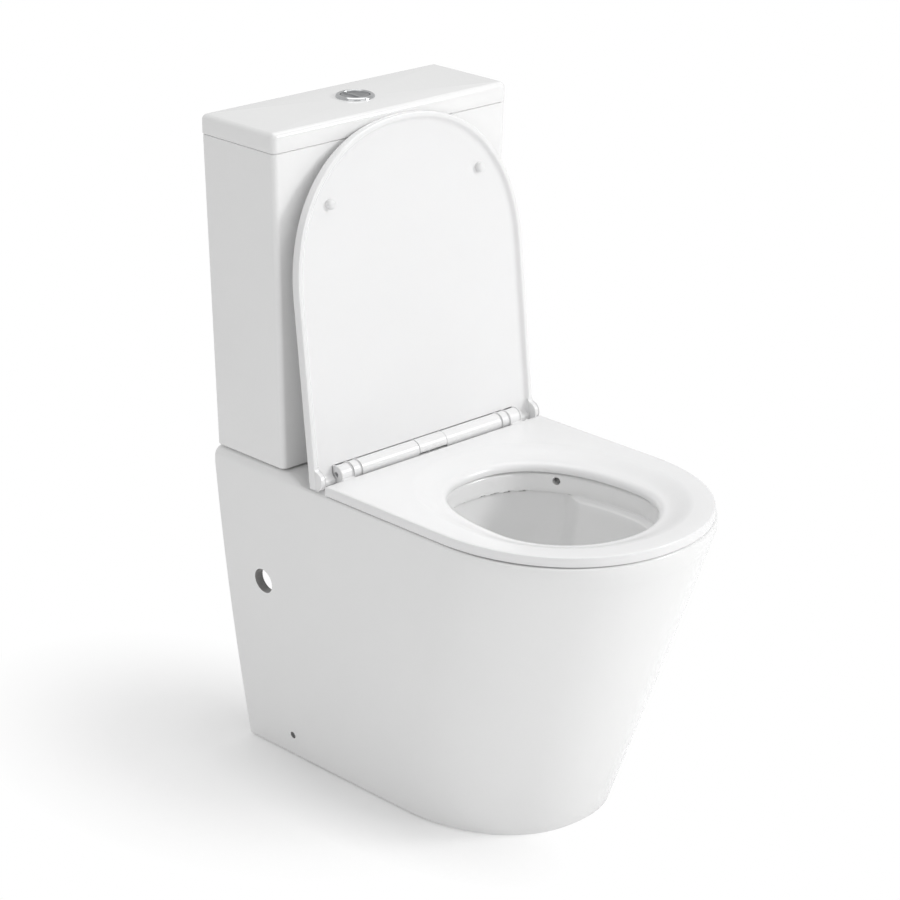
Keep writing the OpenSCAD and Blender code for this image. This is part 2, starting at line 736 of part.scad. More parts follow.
module seat_cover() {
    pocket = seat_knuckle_x + seat_knuckle + 2;
    pocket_h = barrel_r + 0.8;
    pocket_front = barrel_r + 12;
    web = 7;
    color(SEAT_WHITE) on_cover() difference() {
        union() {
            difference() {
                loft([
                    cover_ring(cover_rim_w + 3, cover_hollow),
                    cover_ring(cover_rim_w + 1, 1.5),
                    cover_ring(cover_rim_w, 0),
                    cover_ring(1, 0),
                    cover_ring(0, 1),
                    cover_ring(0, cover_t - 6),
                    cover_ring(1.5, cover_t - 2.5),
                    cover_ring(4, cover_t - 0.7),
                    cover_ring(8, cover_t)
                ]);
                translate([-pocket, -pocket_front, -1])
                    cube([2 * pocket, pocket_front + cover_back + 1, pocket_h + 1]);
            }
            for (x = [-1, 1]) {
                cover_axle(x * cover_knuckle_x, x * (cover_knuckle_x + cover_knuckle), 2 * barrel_r);
                translate([x > 0 ? cover_knuckle_x : -cover_knuckle_x - cover_knuckle, -web, 0])
                    cube([cover_knuckle, 2 * web, pocket_h + 0.7]);
                cover_axle(x * (cover_half - ear_w), x * (cover_half - 1), 2 * barrel_r);
            }
        }
        for (x = [-1, 1])
            cover_axle(
                x * (cover_knuckle_x - eps), x * (cover_knuckle_x + cover_knuckle + eps),
                hinge_pin_d + 2 * pin_gap
            );
        for (x = [-1, 1]) translate([x * cover_buffer_x, -cover_buffer_s, 0])
            cylinder(d = buffer_d, h = cover_hollow + 3);
    }
}

module cover_buffers() {
    color(SEAT_WHITE) on_cover() for (x = [-1, 1])
        translate([x * cover_buffer_x, -cover_buffer_s, 0.3 - cover_gap])
        cylinder(d = buffer_d, h = cover_hollow + 3 + cover_gap - 0.3);
}

// Fixed bar of the hinge with the dampers in its ends
damper_d = 14;
damper_len = 30;
stud_d = 14;
stud_h = 3.6;
flange_h = 1;
button_half = 23;
key_low_z = hinge_z - 2.8;
release_travel = 2.5;
key_drop = release_travel + slide_gap;
stem_d = 6;
stem_floor_z = hinge_z - 12;
module hinge_bar() {
    foot_w2 = 16;
    color(SEAT_WHITE) difference() {
        union() {
            axle(-bar_half, bar_half, 2 * barrel_r);
            translate([-bar_half + 6, yt(hinge_out) - foot_w2 / 2, rim_z + flange_h])
                cube([2 * bar_half - 12, foot_w2, hinge_z - rim_z - flange_h]);
        }
        for (x = [-1, 1]) {
            axle(x * (bar_half - damper_len - 0.5), x * (bar_half + eps), damper_d + 2 * pin_gap);
            post(
                x * hinge_bolt_gap / 2, hinge_out, rim_z, rim_z + flange_h + stud_h + 0.2,
                stud_d + 2 * pin_gap
            );
        }
        translate([-button_half - slide_gap, yt(hinge_out) - barrel_r - 1, key_low_z - key_drop])
            cube([2 * (button_half + slide_gap), 2 * barrel_r + 2, 2 * barrel_r]);
        post(0, hinge_out, stem_floor_z, key_low_z, stem_d + 2 * pin_gap);
    }
}

module release_button() {
    color(SEAT_WHITE) {
        intersection() {
            axle(-button_half, button_half, 2 * barrel_r);
            translate([-button_half, yt(hinge_out) - barrel_r - 1, key_low_z])
                cube([2 * button_half, 2 * barrel_r + 2, 2 * barrel_r]);
        }
        post(0, hinge_out, stem_floor_z + key_drop, key_low_z + 1, stem_d);
    }
}

module hinge_pins() {
    color(STEEL) for (x = [-1, 1])
        axle(x * (bar_half - 10), x * (seat_knuckle_x + seat_knuckle - 3), hinge_pin_d);
}

module soft_close_dampers() {
    color(BLUE_PLASTIC) for (x = [-1, 1]) difference() {
        axle(x * (bar_half - damper_len), x * bar_half, damper_d);
        axle(x * (bar_half - 10.5), x * (bar_half + eps), hinge_pin_d + 2 * pin_gap);
    }
}

// Fixings of the hinge under the deck
hinge_washer_t = 4;
hinge_nut_t = 12;
flange_d = 30;
module hinge_bolts() {
    color(STEEL) for (x = [-1, 1]) {
        post(x * hinge_bolt_gap / 2, hinge_out, rim_z, rim_z + flange_h, flange_d);
        post(x * hinge_bolt_gap / 2, hinge_out, rim_z, rim_z + flange_h + stud_h, stud_d);
        post(
            x * hinge_bolt_gap / 2, hinge_out, under_deck - hinge_washer_t - hinge_nut_t - 6,
            rim_z + 1, bolt_d
        );
    }
}

module hinge_washers() {
    color(RUBBER) for (x = [-1, 1])
        tube(
            x * hinge_bolt_gap / 2, hinge_out, under_deck - hinge_washer_t, under_deck,
            28, bolt_d + 2 * pin_gap
        );
}

// Round nut with two wings
module wing_nut(x, t, z_top, h, d) {
    difference() {
        union() {
            post(x, t, z_top - h, z_top, d);
            translate([x - d, yt(t) - 2, z_top - h]) cube([2 * d, 4, h * 0.7]);
        }
        post(x, t, z_top - h - eps, z_top + eps, bolt_d + 2 * pin_gap);
    }
}

module hinge_nuts() {
    color(PLASTIC) for (x = [-1, 1])
        wing_nut(x * hinge_bolt_gap / 2, hinge_out, under_deck - hinge_washer_t, hinge_nut_t, 18);
}

// Chrome ring, its nut and the two buttons
bezel_t = 3.5;
sleeve_wall = 1.6;
bezel_nut_h = 6;
button_h = 13;
split_x = -6;
split_gap = 0.4;
rod_d = 6;
rod_x = 9;
sleeve_d = button_d + 2 * slide_gap + 2 * sleeve_wall;
sleeve_low_z = lid_top_z - lid_plate - bezel_nut_h - 2;
button_top_z = lid_top_z + bezel_t - 1;
module button_bezel() {
    color(CHROME) translate([0, yt(valve_out), 0]) difference() {
        union() {
            translate([0, 0, lid_top_z]) cylinder(d1 = bezel_d, d2 = bezel_d - 1, h = bezel_t - 1);
            translate([0, 0, lid_top_z + bezel_t - 1]) cylinder(d1 = bezel_d - 1, d2 = bezel_d - 5, h = 1);
            translate([0, 0, sleeve_low_z]) cylinder(d = sleeve_d, h = lid_top_z - sleeve_low_z + 1);
        }
        translate([0, 0, sleeve_low_z - eps])
            cylinder(d = button_d + 2 * slide_gap, h = lid_top_z + bezel_t - sleeve_low_z + 2 * eps);
    }
}

module bezel_nut() {
    z = lid_top_z - lid_plate - bezel_nut_h;
    color(PLASTIC) tube(0, valve_out, z, z + bezel_nut_h, sleeve_d + 14, sleeve_d + 2 * pin_gap);
}

// Part of the button disc on one side of the split, with a soft upper edge
module button_part(left) {
    r = button_d / 2;
    intersection() {
        union() {
            post(0, valve_out, button_top_z - button_h, button_top_z - 1.5, button_d);
            translate([0, yt(valve_out), button_top_z - 1.5])
                cylinder(d1 = button_d, d2 = button_d - 2.4, h = 1.5);
        }
        translate([
            left ? -r - 1 : split_x + split_gap / 2, yt(valve_out) - r - 1, button_top_z - button_h - 1
        ])
            cube([left ? r + 1 + split_x - split_gap / 2 : r + 1 - split_x, 2 * r + 2, button_h + 2]);
    }
}

module full_flush_button() {
    color(CHROME) button_part(false);
}

module half_flush_button() {
    color(CHROME) button_part(true);
}

// Push rods that reach down into the valve actuator
actuator_low_z = tank_floor_z + 280;
actuator_h = 28;
actuator_d = 70;
actuator_top_z = actuator_low_z + actuator_h;
rod_low_z = actuator_top_z - 10;
half_rod_x = (split_x - button_d / 2) / 2;
module push_rod(x) {
    post(x, valve_out, rod_low_z, button_top_z - button_h, rod_d);
}

module full_flush_rod() {
    color(PLASTIC) push_rod(rod_x);
}

module half_flush_rod() {
    color(PLASTIC) push_rod(half_rod_x);
}

module actuator_housing() {
    color(BLUE_PLASTIC) difference() {
        post(0, valve_out, actuator_low_z, actuator_top_z, actuator_d);
        for (x = [rod_x, half_rod_x])
            post(x, valve_out, rod_low_z - button_travel - 1, actuator_top_z + eps, rod_d + 2 * slide_gap);
    }
}

// Flush valve: base through the cistern floor, cage above it, and the lifting overflow tube
base_z = tank_floor_z + washer_t;
seat_z = base_z + valve_flange_t;
overflow_d = 30;
overflow_wall = 2.5;
cage_leg_w = 8;
cage_leg_out = 33;
cage_ring_h = 6;
cage_guides = [seat_z + valve_lift + 16, seat_z + 180];
module flush_valve_base() {
    tail_low = tank_z - 30;
    color(PLASTIC) difference() {
        union() {
            post(0, valve_out, base_z, seat_z, valve_flange_d);
            post(0, valve_out, tail_low, base_z + 1, valve_tail_d);
        }
        post(0, valve_out, tail_low - eps, seat_z + eps, valve_bore);
    }
}

module flush_valve_washer() {
    color(RUBBER) tube(0, valve_out, tank_floor_z, base_z, valve_flange_d, valve_tail_d + 2 * pin_gap);
}

flush_nut_h = 9;
module flush_valve_nut() {
    color(PLASTIC) tube(0, valve_out, tank_z - flush_nut_h, tank_z, 84, valve_tail_d + 2 * pin_gap);
}

module flush_valve_cage() {
    color(PLASTIC) {
        for (x = [-1, 1]) translate([x * cage_leg_out - 3, yt(valve_out) - cage_leg_w / 2, seat_z])
            cube([6, cage_leg_w, actuator_low_z - seat_z]);
        for (z = cage_guides)
            tube(0, valve_out, z, z + cage_ring_h, 2 * cage_leg_out, overflow_d + 2 * slide_gap);
    }
}

overflow_top_z = actuator_low_z - valve_lift - 4;
module overflow_tube() {
    color(PLASTIC) difference() {
        union() {
            post(0, valve_out, seat_z + washer_t, overflow_top_z, overflow_d);
            post(0, valve_out, seat_z + washer_t, seat_z + washer_t + 5, 56);
            post(0, valve_out, seat_z - 4, seat_z + washer_t + 1, overflow_d - 0.4);
        }
        post(0, valve_out, seat_z - 4 - eps, overflow_top_z + eps, overflow_d - 2 * overflow_wall);
    }
}

module valve_seal() {
    color(RUBBER) tube(0, valve_out, seat_z, seat_z + washer_t, 60, overflow_d - 0.4);
}

// Fill valve: shank through the cistern floor, column, head, float and lever
column_d = 28;
head_d = 40;
column_top_z = tank_floor_z + 270;
head_h = 26;
head_top_z = column_top_z + head_h;
float_d = 58;
float_h = 55;
float_low_z = column_top_z - float_h - 38;
link_x = fill_x - 27;
link_d = 3;
collar_d = 7;
lever_z = head_top_z + 17;
lever_t = 4;
lever_w = 12;
lever_end = 14;
lever_tip = 9.5;
// The slot for the float link, outwards and inwards of it
link_slot_w = 5;
slot_out = 6.5;
slot_in = 5;
lever_pivot_x = fill_x - 2;
lever_pin_d = 3;
stem_x = fill_x + 9;
module fill_valve_body() {
    shank_low = tank_z - 36;
    color(PLASTIC) {
        post(fill_x, valve_out, shank_low, base_z + 1, fill_shank_d);
        post(fill_x, valve_out, base_z, base_z + 5, 34);
        post(fill_x, valve_out, base_z, column_top_z, column_d);
    }
}

module fill_valve_head() {
    yoke_w = 4;
    color(BLUE_PLASTIC) difference() {
        union() {
            post(fill_x, valve_out, column_top_z, head_top_z, head_d);
            post(stem_x, valve_out, head_top_z - 1, head_top_z + 10, stem_d);
            for (y = [-1, 1])
                translate([lever_pivot_x - 4, yt(valve_out) + y * 9 - yoke_w / 2, head_top_z - 8])
                cube([8, yoke_w, lever_z + lever_t + 2 - head_top_z + 8]);
        }
        translate([lever_pivot_x, yt(valve_out) + 15, lever_z + lever_t / 2]) rotate([90, 0, 0])
            cylinder(d = lever_pin_d + 2 * pin_gap, h = 30);
    }
}

module lever_pin() {
    color(BRASS) translate([lever_pivot_x, yt(valve_out) + 11, lever_z + lever_t / 2]) rotate([90, 0, 0])
        cylinder(d = lever_pin_d, h = 22);
}

module valve_lever() {
    reach = lever_pivot_x - link_x;
    color(PLASTIC) difference() {
        union() {
            translate([link_x - lever_tip, yt(valve_out) - lever_w / 2, lever_z])
                cube([reach + lever_tip + lever_end, lever_w, lever_t]);
            translate([lever_pivot_x, yt(valve_out) + 6, lever_z + lever_t / 2]) rotate([90, 0, 0])
                cylinder(d = 7, h = 12);
        }
        translate([lever_pivot_x, yt(valve_out) + 8, lever_z + lever_t / 2]) rotate([90, 0, 0])
            cylinder(d = lever_pin_d + 2 * pin_gap, h = 16);
        translate([link_x - slot_out, yt(valve_out) - link_slot_w / 2, lever_z - eps])
            cube([slot_out + slot_in, link_slot_w, lever_t + 2 * eps]);
    }
}

module float_cup() {
    color(PLASTIC) difference() {
        post(fill_x, valve_out, float_low_z, float_low_z + float_h, float_d);
        post(fill_x, valve_out, float_low_z - eps, float_low_z + float_h + eps, column_d + 2 * slide_gap);
        tube(
            fill_x, valve_out, float_low_z - eps, float_low_z + float_h - 3,
            float_d - 4, column_d + 2 * slide_gap + 4
        );
    }
}

module float_link() {
    color(STEEL) {
        post(link_x, valve_out, float_low_z + float_h, lever_z + lever_t + 5, link_d);
        post(link_x, valve_out, lever_z - 3.8, lever_z - 0.8, collar_d);
    }
}

module inlet_washer() {
    color(RUBBER) tube(fill_x, valve_out, tank_floor_z, base_z, 34, fill_shank_d + 2 * pin_gap);
}

module inlet_nut() {
    color(PLASTIC) tube(fill_x, valve_out, tank_z - 12, tank_z, 36, fill_shank_d + 2 * pin_gap);
}

// Joint between the cistern and the pan
module tank_gasket() {
    color(RUBBER) tube(
        0, valve_out, deck_z - inlet_recess_depth, tank_z - flush_nut_h, inlet_recess_d - 2, valve_tail_d + 1
    );
}

module tank_spacers() {
    color(RUBBER) for (x = [-1, 1])
        tube(x * tank_bolt_x, valve_out, deck_z, tank_z, 26, bolt_d + 2 * pin_gap);
}

nut_washer_t = 3;
tank_nut_h = 10;
module tank_bolts() {
    color(BRASS) for (x = [-1, 1]) {
        post(x * tank_bolt_x, valve_out, base_z, base_z + 5, 16);
        post(x * tank_bolt_x, valve_out, under_deck - nut_washer_t - tank_nut_h - 6, base_z + 1, bolt_d);
    }
}

module tank_bolt_seals() {
    color(RUBBER) for (x = [-1, 1])
        tube(x * tank_bolt_x, valve_out, tank_floor_z, base_z, 24, bolt_d + 2 * pin_gap);
}

module tank_bolt_washers() {
    color(STEEL) for (x = [-1, 1])
        tube(x * tank_bolt_x, valve_out, under_deck - nut_washer_t, under_deck, 24, bolt_d + 2 * pin_gap);
}

module tank_wing_nuts() {
    color(BRASS) for (x = [-1, 1])
        wing_nut(x * tank_bolt_x, valve_out, under_deck - nut_washer_t, tank_nut_h, 16);
}

// Brackets that hold the pan to the floor, and their screws
bracket_w = 30;
bracket_len = 44;
bracket_h = 48;
bracket_foot = 8;
bracket_gap = 1.5;
function bracket_x() = skirt_half(0) - skirt_wall - bracket_gap;
module floor_brackets() {
    color(PLASTIC) for (x = [-1, 1]) difference() {
        union() {
            translate([x > 0 ? bracket_x() - 12 : -bracket_x(), yt(fixing_out) - bracket_len / 2, 0])
                cube([12, bracket_len, bracket_h]);
            translate([x > 0 ? bracket_x() - bracket_w : -bracket_x(), yt(fixing_out) - bracket_len / 2, 0])
                cube([bracket_w, bracket_len, bracket_foot]);
        }
        rod(
            [x * (bracket_x() - 13), fixing_out, fixing_z], [x * (bracket_x() + 1), fixing_out, fixing_z],
            screw_d + 2 * pin_gap
        );
        post(x * (bracket_x() - 21), fixing_out, -eps, bracket_foot + eps, screw_d + 2 * pin_gap);
    }
}

module floor_screws() {
    color(STEEL) for (x = [-1, 1]) {
        post(x * (bracket_x() - 21), fixing_out, 0.5, bracket_foot + 1, screw_d);
        post(x * (bracket_x() - 21), fixing_out, bracket_foot, bracket_foot + 4, 11);
    }
}

module side_screws() {
    seat_x = skirt_half(fixing_z) - side_screw_seat;
    color(STEEL) for (x = [-1, 1]) {
        rod(
            [x * (bracket_x() - 14), fixing_out, fixing_z], [x * (seat_x + 1), fixing_out, fixing_z],
            screw_d
        );
        rod([x * seat_x, fixing_out, fixing_z], [x * (seat_x + 3), fixing_out, fixing_z], fixing_d - 0.4);
    }
}

pan();
cistern();
cistern_lid();
seat_ring();
seat_cover();
hinge_bar();
hinge_pins();
soft_close_dampers();
release_button();
hinge_bolts();
hinge_washers();
hinge_nuts();
seat_buffers();
cover_buffers();
button_bezel();
bezel_nut();
full_flush_button();
half_flush_button();
full_flush_rod();
half_flush_rod();
actuator_housing();
flush_valve_cage();
flush_valve_base();
flush_valve_washer();
flush_valve_nut();
overflow_tube();
valve_seal();
fill_valve_body();
fill_valve_head();
inlet_washer();
inlet_nut();
float_cup();
float_link();
valve_lever();
lever_pin();
tank_gasket();
tank_spacers();
tank_bolts();
tank_bolt_seals();
tank_bolt_washers();
tank_wing_nuts();
floor_brackets();
floor_screws();
side_screws();
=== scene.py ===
import math

import bpy
import numpy as np
from mathutils import Matrix, Vector


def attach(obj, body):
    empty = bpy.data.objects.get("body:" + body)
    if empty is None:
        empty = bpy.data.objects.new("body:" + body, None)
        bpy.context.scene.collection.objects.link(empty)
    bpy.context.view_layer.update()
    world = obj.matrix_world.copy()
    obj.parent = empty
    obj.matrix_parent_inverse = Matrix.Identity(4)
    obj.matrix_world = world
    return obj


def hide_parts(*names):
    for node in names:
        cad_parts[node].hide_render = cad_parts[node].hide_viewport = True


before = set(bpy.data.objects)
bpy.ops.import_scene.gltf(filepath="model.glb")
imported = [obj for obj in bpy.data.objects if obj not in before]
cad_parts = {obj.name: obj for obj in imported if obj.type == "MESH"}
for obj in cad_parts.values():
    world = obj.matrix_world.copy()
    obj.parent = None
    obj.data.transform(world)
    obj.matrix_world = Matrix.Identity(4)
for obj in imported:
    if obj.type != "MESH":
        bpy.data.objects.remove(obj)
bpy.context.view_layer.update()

# Sizes in millimetres, as in the part. t is the distance from the wall, x and z are as in the frame.
# Pan: projection, rim, foot, the skirt's swell, edge radii, the deck's rise over the rim, wall thicknesses.
PROJECTION, RIM_W, RIM_Z = 602.0, 361.0, 401.0
FOOT, FOOT_W, FOOT_OUT, SWELL = 2.0, 268.0, 460.0, 4.0
RIM_EDGE, DECK_EDGE, RISE = 3.0, 12.0, 7.5
SKIRT, DECK = 12.0, 18.0
WALL_Y = PROJECTION / 2
UNDER = RIM_Z - DECK
DECK_Z = RIM_Z + RISE
RIM_STRAIGHT, FOOT_STRAIGHT = 420.0, 289.0
DECK_END, SLOPE_END = 0.31 * RIM_STRAIGHT, 0.4 * RIM_STRAIGHT
SKIRT_TOP = RIM_Z - DECK_EDGE - 1

# Bowl: its opening is widest at t = WIDE; WASH is the height of the flushing wall under it.
BOWL_W, BOWL_FRONT, BOWL_BACK, WIDE = 226.0, 63.0, 270.0, 431.0
BACK_POWER = 2.4
OPEN_Z = RIM_Z - 10.0
WASH = 20.0
BOWL_WALL = 12.0
WASH_TOP = OPEN_Z - 4
WASH_LOW = WASH_TOP - WASH
SHELF_Z = WASH_LOW - 6
SUMP_HALF, SUMP_BACK, SUMP_WIDE, SUMP_FRONT = 42.0, 300.0, 345.0, 404.0
SUMP_Z = 98.0
SUMP_TOP = SUMP_Z + 72

# Holes of the pan: (t, z, diameter) of those through the skirt, then where the others are.
SERVICE_HOLE, FIX_HOLE, FIX_HEAD = (72.0, 247.0, 32.0), (89.0, 31.0, 6.6), (89.0, 31.0, 9.0)
SPIGOT_Z = 180.0
VALVE_T = 62.0
FILL_X, SEAT_BOLT_X, TANK_BOLT_X = -115.0, 77.5, 78.0
BOLT_HOLE = 11.0

# Cistern and lid: REAR is the share of the corner radius that the corners at the wall have.
TANK_Z = DECK_Z + 2.0
TANK_H, TANK_BACK, TANK_WALL, TANK_R = 394.0, 1.0, 10.0, 7.0
REAR = 0.35
TANK_LOW_W, TANK_TOP_W, TANK_LOW_D, TANK_TOP_D = 351.0, 374.0, 123.0, 130.0
TANK_LOW_FRONT, TANK_FRONT = TANK_BACK + TANK_LOW_D, TANK_BACK + TANK_TOP_D
TANK_TOP = TANK_Z + TANK_H
TANK_FLOOR = TANK_Z + TANK_WALL + 2
LID_Z, LID_H, LID_OVER, LID_EDGE = TANK_TOP + 0.5, 24.5, 0.5, 7.0
LID_TOP = LID_Z + LID_H

# Seat and hinge: along x the bar comes first, then the cover's lugs, then the seat's.
SEAT_LOW = RIM_Z + 1.0
SEAT_TOP = SEAT_LOW + 12.5
SEAT_HOLE_HALF, SEAT_HOLE_BACK, SEAT_HOLE_FRONT, SEAT_STRAIGHT = 110.0, 273.0, 536.0, 400.0
HINGE_T, HINGE_Z, BARREL = 190.0, SEAT_TOP + 2.5, 12.0
OPEN_ANGLE = 96.0
BAR_HALF, COVER_LUG, SEAT_LUG, POCKET_HALF = 117.0, (118.0, 130.0), (131.0, 150.0), 150.8
PIN_HOLE, DAMPER_HOLE = 7.1, 14.1

# Points of a ring: across the back, along each side and round the front.
COUNTS, COARSE = (40, 42, 128), (30, 42, 90)
SHARP, SHARP_CAD = math.radians(32), math.radians(35)


def lerp(a, b, k):
    return a + (b - a) * k


def smooth(k):
    k = np.clip(k, 0, 1)
    return k * k * (3 - 2 * k)


def spow(v, p):
    return math.copysign(abs(v) ** p, v)


def quarter(radius, deg):
    """The two offsets along a quarter round: one falls to nothing over 90 degrees, the other grows."""
    a = math.radians(deg)
    return radius * (1 - math.sin(a)), radius * (1 - math.cos(a))


# Outlines: rings of (x, t, z) points at one height.
def d_ring(w, tb, ts, tf, n, z, counts=COUNTS):
    """Straight back at tb, straight sides to ts and a superelliptic front to tf; w is half the width."""
    nb, ns, nf = counts
    pts = [(w - 2 * w * i / nb, tb, z) for i in range(nb)]
    pts += [(-w, lerp(tb, ts, i / ns), z) for i in range(ns)]
    for i in range(nf):
        a = math.pi * i / nf
        pts.append((-w * spow(math.cos(a), 2 / n), ts + (tf - ts) * abs(math.sin(a)) ** (2 / n), z))
    pts += [(w, lerp(ts, tb, i / ns), z) for i in range(ns)]
    return np.array(pts)


def egg_ring(w, tb, tm, tf, z, counts=COUNTS):
    """Superelliptic back and elliptic front that meet at tm, where half the width is w."""
    nb, ns, nf = counts

    def back(deg):
        a = math.radians(deg)
        t = tm - (tm - tb) * abs(math.sin(a)) ** (2 / BACK_POWER)
        return w * spow(math.cos(a), 2 / BACK_POWER), t, z

    pts = [back(lerp(35, 145, i / nb)) for i in range(nb)]
    pts += [back(lerp(145, 180, i / ns)) for i in range(ns)]
    for i in range(nf):
        a = math.pi * i / nf
        pts.append((-w * math.cos(a), tm + (tf - tm) * math.sin(a), z))
    pts += [back(lerp(0, 35, i / ns)) for i in range(ns)]
    return np.array(pts)


def pan_ring(k, z, inset=0.0, back=0.0, counts=COUNTS):
    """The pan's outside, from the foot's outline at k = 0 to the rim's at k = 1."""
    return d_ring(
        lerp(FOOT_W, RIM_W, k) / 2 + SWELL * 4 * k * (1 - k) - inset, back,
        lerp(FOOT_STRAIGHT, RIM_STRAIGHT, k), lerp(FOOT_OUT, PROJECTION, k) - inset,
        lerp(2.26, 2.08, k), z, counts)


def deck_share(t):
    """1 on the deck behind, falling to 0 where the slope meets the flat rim."""
    return np.clip((SLOPE_END - t) / (SLOPE_END - DECK_END), 0, 1)


def raised(ring):
    """A ring at the rim's height, lifted to the deck where it is behind the slope."""
    out = ring.copy()
    out[:, 2] += RISE * smooth(deck_share(ring[:, 1]))
    return out


def drawn_to(back, ring):
    """The rear of a ring drawn forward to a distance from the wall, its points kept in order."""
    out = ring.copy()
    out[:, 1] = np.maximum(ring[:, 1], back + ring[:, 1] * 0.01)
    return out


def edge_ring(deg):
    """The rounded top edge, wide on the deck and tight round the rim."""
    wide, tight = (pan_ring(1, RIM_Z - drop, inset)
                   for drop, inset in (quarter(DECK_EDGE, deg), quarter(RIM_EDGE, deg)))
    share = smooth(deck_share(wide[:, 1]))[:, None]
    return raised(tight + (wide - tight) * share)


def opening_ring(grow, z, counts=COUNTS):
    return egg_ring(BOWL_W / 2 + grow, BOWL_BACK - grow, WIDE, PROJECTION - BOWL_FRONT + grow, z, counts)


def shelf_share(counts):
    """0 across the back of a ring and 1 along its front, as the shelf has it."""
    nb, ns, nf = counts
    side = [min(1.0, 3 * i / ns) for i in range(ns)]
    last = [min(1.0, 3 * (1 - i / ns)) for i in range(ns)]
    return smooth(np.array([0.0] * nb + side + [1.0] * nf + last))[:, None]


def shelf_mix(a, b, counts=COUNTS):
    return a + (b - a) * shelf_share(counts)


def bowl_ring(k, grow=0.0, counts=COUNTS):
    """The bowl's inside, from the shelf at k = 0 to the top of the sump at k = 1."""
    f = math.cos(math.radians(90 * k))

    def part(start):
        return egg_ring(
            lerp(SUMP_HALF, BOWL_W / 2 + start, f) + grow, lerp(SUMP_BACK, BOWL_BACK - start, f) - grow,
            lerp(SUMP_WIDE, WIDE, f), lerp(SUMP_FRONT, PROJECTION - BOWL_FRONT + start, f) + grow,
            lerp(SHELF_Z, SUMP_TOP, k), counts)

    return shelf_mix(part(6.0), part(-8.0), counts)


def sump_ring(shrink, z, grow=0.0, counts=COUNTS):
    return egg_ring(SUMP_HALF - shrink + grow, SUMP_BACK + shrink - grow, SUMP_WIDE,
                    SUMP_FRONT - 2 * shrink + grow, z, counts)


def plate_ring(w, t0, t1, r, z):
    """Rectangle of the cistern and its lid, with tighter corners at the wall."""
    n = 14
    pts = []
    for q in range(4):
        c = REAR * r if q < 2 else r
        cx = (1 if q in (0, 3) else -1) * (w / 2 - c)
        cy = (WALL_Y - (t0 + c)) if q < 2 else (WALL_Y - (t1 - c))
        for i in range(n + 1):
            a = math.radians(90 * q + 90 * i / n)
            pts.append((cx + c * math.cos(a), WALL_Y - (cy + c * math.sin(a)), z))
    return np.array(pts)


# Meshes: helpers take (x, t, z) in millimetres and make objects in metres.
def to_row(pts):
    p = np.array(pts, float)
    return np.column_stack([p[:, 0], WALL_Y - p[:, 1], p[:, 2]]) * 0.001


def make(name, verts, faces):
    me = bpy.data.meshes.new(name)
    me.from_pydata([tuple(v) for v in verts], [], faces)
    me.update()
    ob = bpy.data.objects.new(name, me)
    bpy.context.scene.collection.objects.link(ob)
    finish_mesh(ob)
    return ob


def finish_mesh(ob):
    for p in ob.data.polygons:
        p.use_smooth = True
    ob.data.set_sharp_from_angle(angle=SHARP)


def loft(name, rings, loop=False, row=True):
    """Skin over rings of equal counts: closed by end caps, or by a loop back to the first ring."""
    n = len(rings[0])
    rows = len(rings)
    pts = np.vstack(rings)
    verts = to_row(pts) if row else pts * 0.001
    verts = [tuple(v) for v in verts]
    faces = []
    for r in range(rows if loop else rows - 1):
        a, b = r * n, ((r + 1) % rows) * n
        for i in range(n):
            j = (i + 1) % n
            faces.append((a + i, a + j, b + j, b + i))
    if not loop:
        for r, flip in ((0, True), (rows - 1, False)):
            ring = np.array(verts[r * n:(r + 1) * n])
            mid = (ring.min(0) + ring.max(0)) / 2
            verts.append(tuple(mid))
            c = len(verts) - 1
            for i in range(n):
                j = (i + 1) % n
                faces.append((r * n + j, r * n + i, c) if flip else (r * n + i, r * n + j, c))
    return make(name, verts, faces)


def box(name, lo, hi, bevel=0.0):
    """Box between two corners given as (x, t, z), with rounded edges."""
    x0, x1 = sorted((lo[0], hi[0]))
    t0, t1 = sorted((lo[1], hi[1]))
    z0, z1 = sorted((lo[2], hi[2]))
    pts = [(x, t, z) for z in (z0, z1) for t in (t0, t1) for x in (x0, x1)]
    faces = [(0, 1, 3, 2), (4, 6, 7, 5), (0, 4, 5, 1), (2, 3, 7, 6), (0, 2, 6, 4), (1, 5, 7, 3)]
    ob = make(name, to_row(pts), faces)
    if bevel:
        round_edges(ob, bevel)
    return ob


def round_edges(ob, width):
    m = ob.modifiers.new("round", "BEVEL")
    m.width = width * 0.001
    m.segments = 3
    m.limit_method = "ANGLE"
    m.angle_limit = math.radians(40)
    m.harden_normals = False
    bake(ob)


def bake(ob):
    """The object's modifiers made into its mesh."""
    bpy.context.view_layer.update()
    dg = bpy.context.evaluated_depsgraph_get()
    me = bpy.data.meshes.new_from_object(ob.evaluated_get(dg))
    ob.modifiers.clear()
    old = ob.data
    ob.data = me
    bpy.data.meshes.remove(old)
    finish_mesh(ob)


def profile_x(name, x0, x1, pts, edge=0.0):
    """Solid along X with a (t, z) profile, its end edges rounded by drawing the profile in."""
    p = np.array(pts, float)
    mid = p.mean(0)

    def ring(x, inset):
        d = p - mid
        ln = np.linalg.norm(d, axis=1)[:, None]
        q = mid + d * (ln - inset) / ln
        return np.column_stack([np.full(len(q), x), q[:, 0], q[:, 1]])

    x0, x1 = min(x0, x1), max(x0, x1)
    rings = []
    if edge:
        for deg in (0, 30, 60, 90):
            run, inset = quarter(edge, deg)
            rings.append(ring(x0 + run, inset))
        for deg in (90, 60, 30, 0):
            run, inset = quarter(edge, deg)
            rings.append(ring(x1 - run, inset))
    else:
        rings = [ring(x0, 0), ring(x1, 0)]
    return loft(name, rings)


def circle_pts(t, z, r, n=72):
    angles = [2 * math.pi * i / n for i in range(n)]
    return [(t + r * math.cos(a), z + r * math.sin(a)) for a in angles]


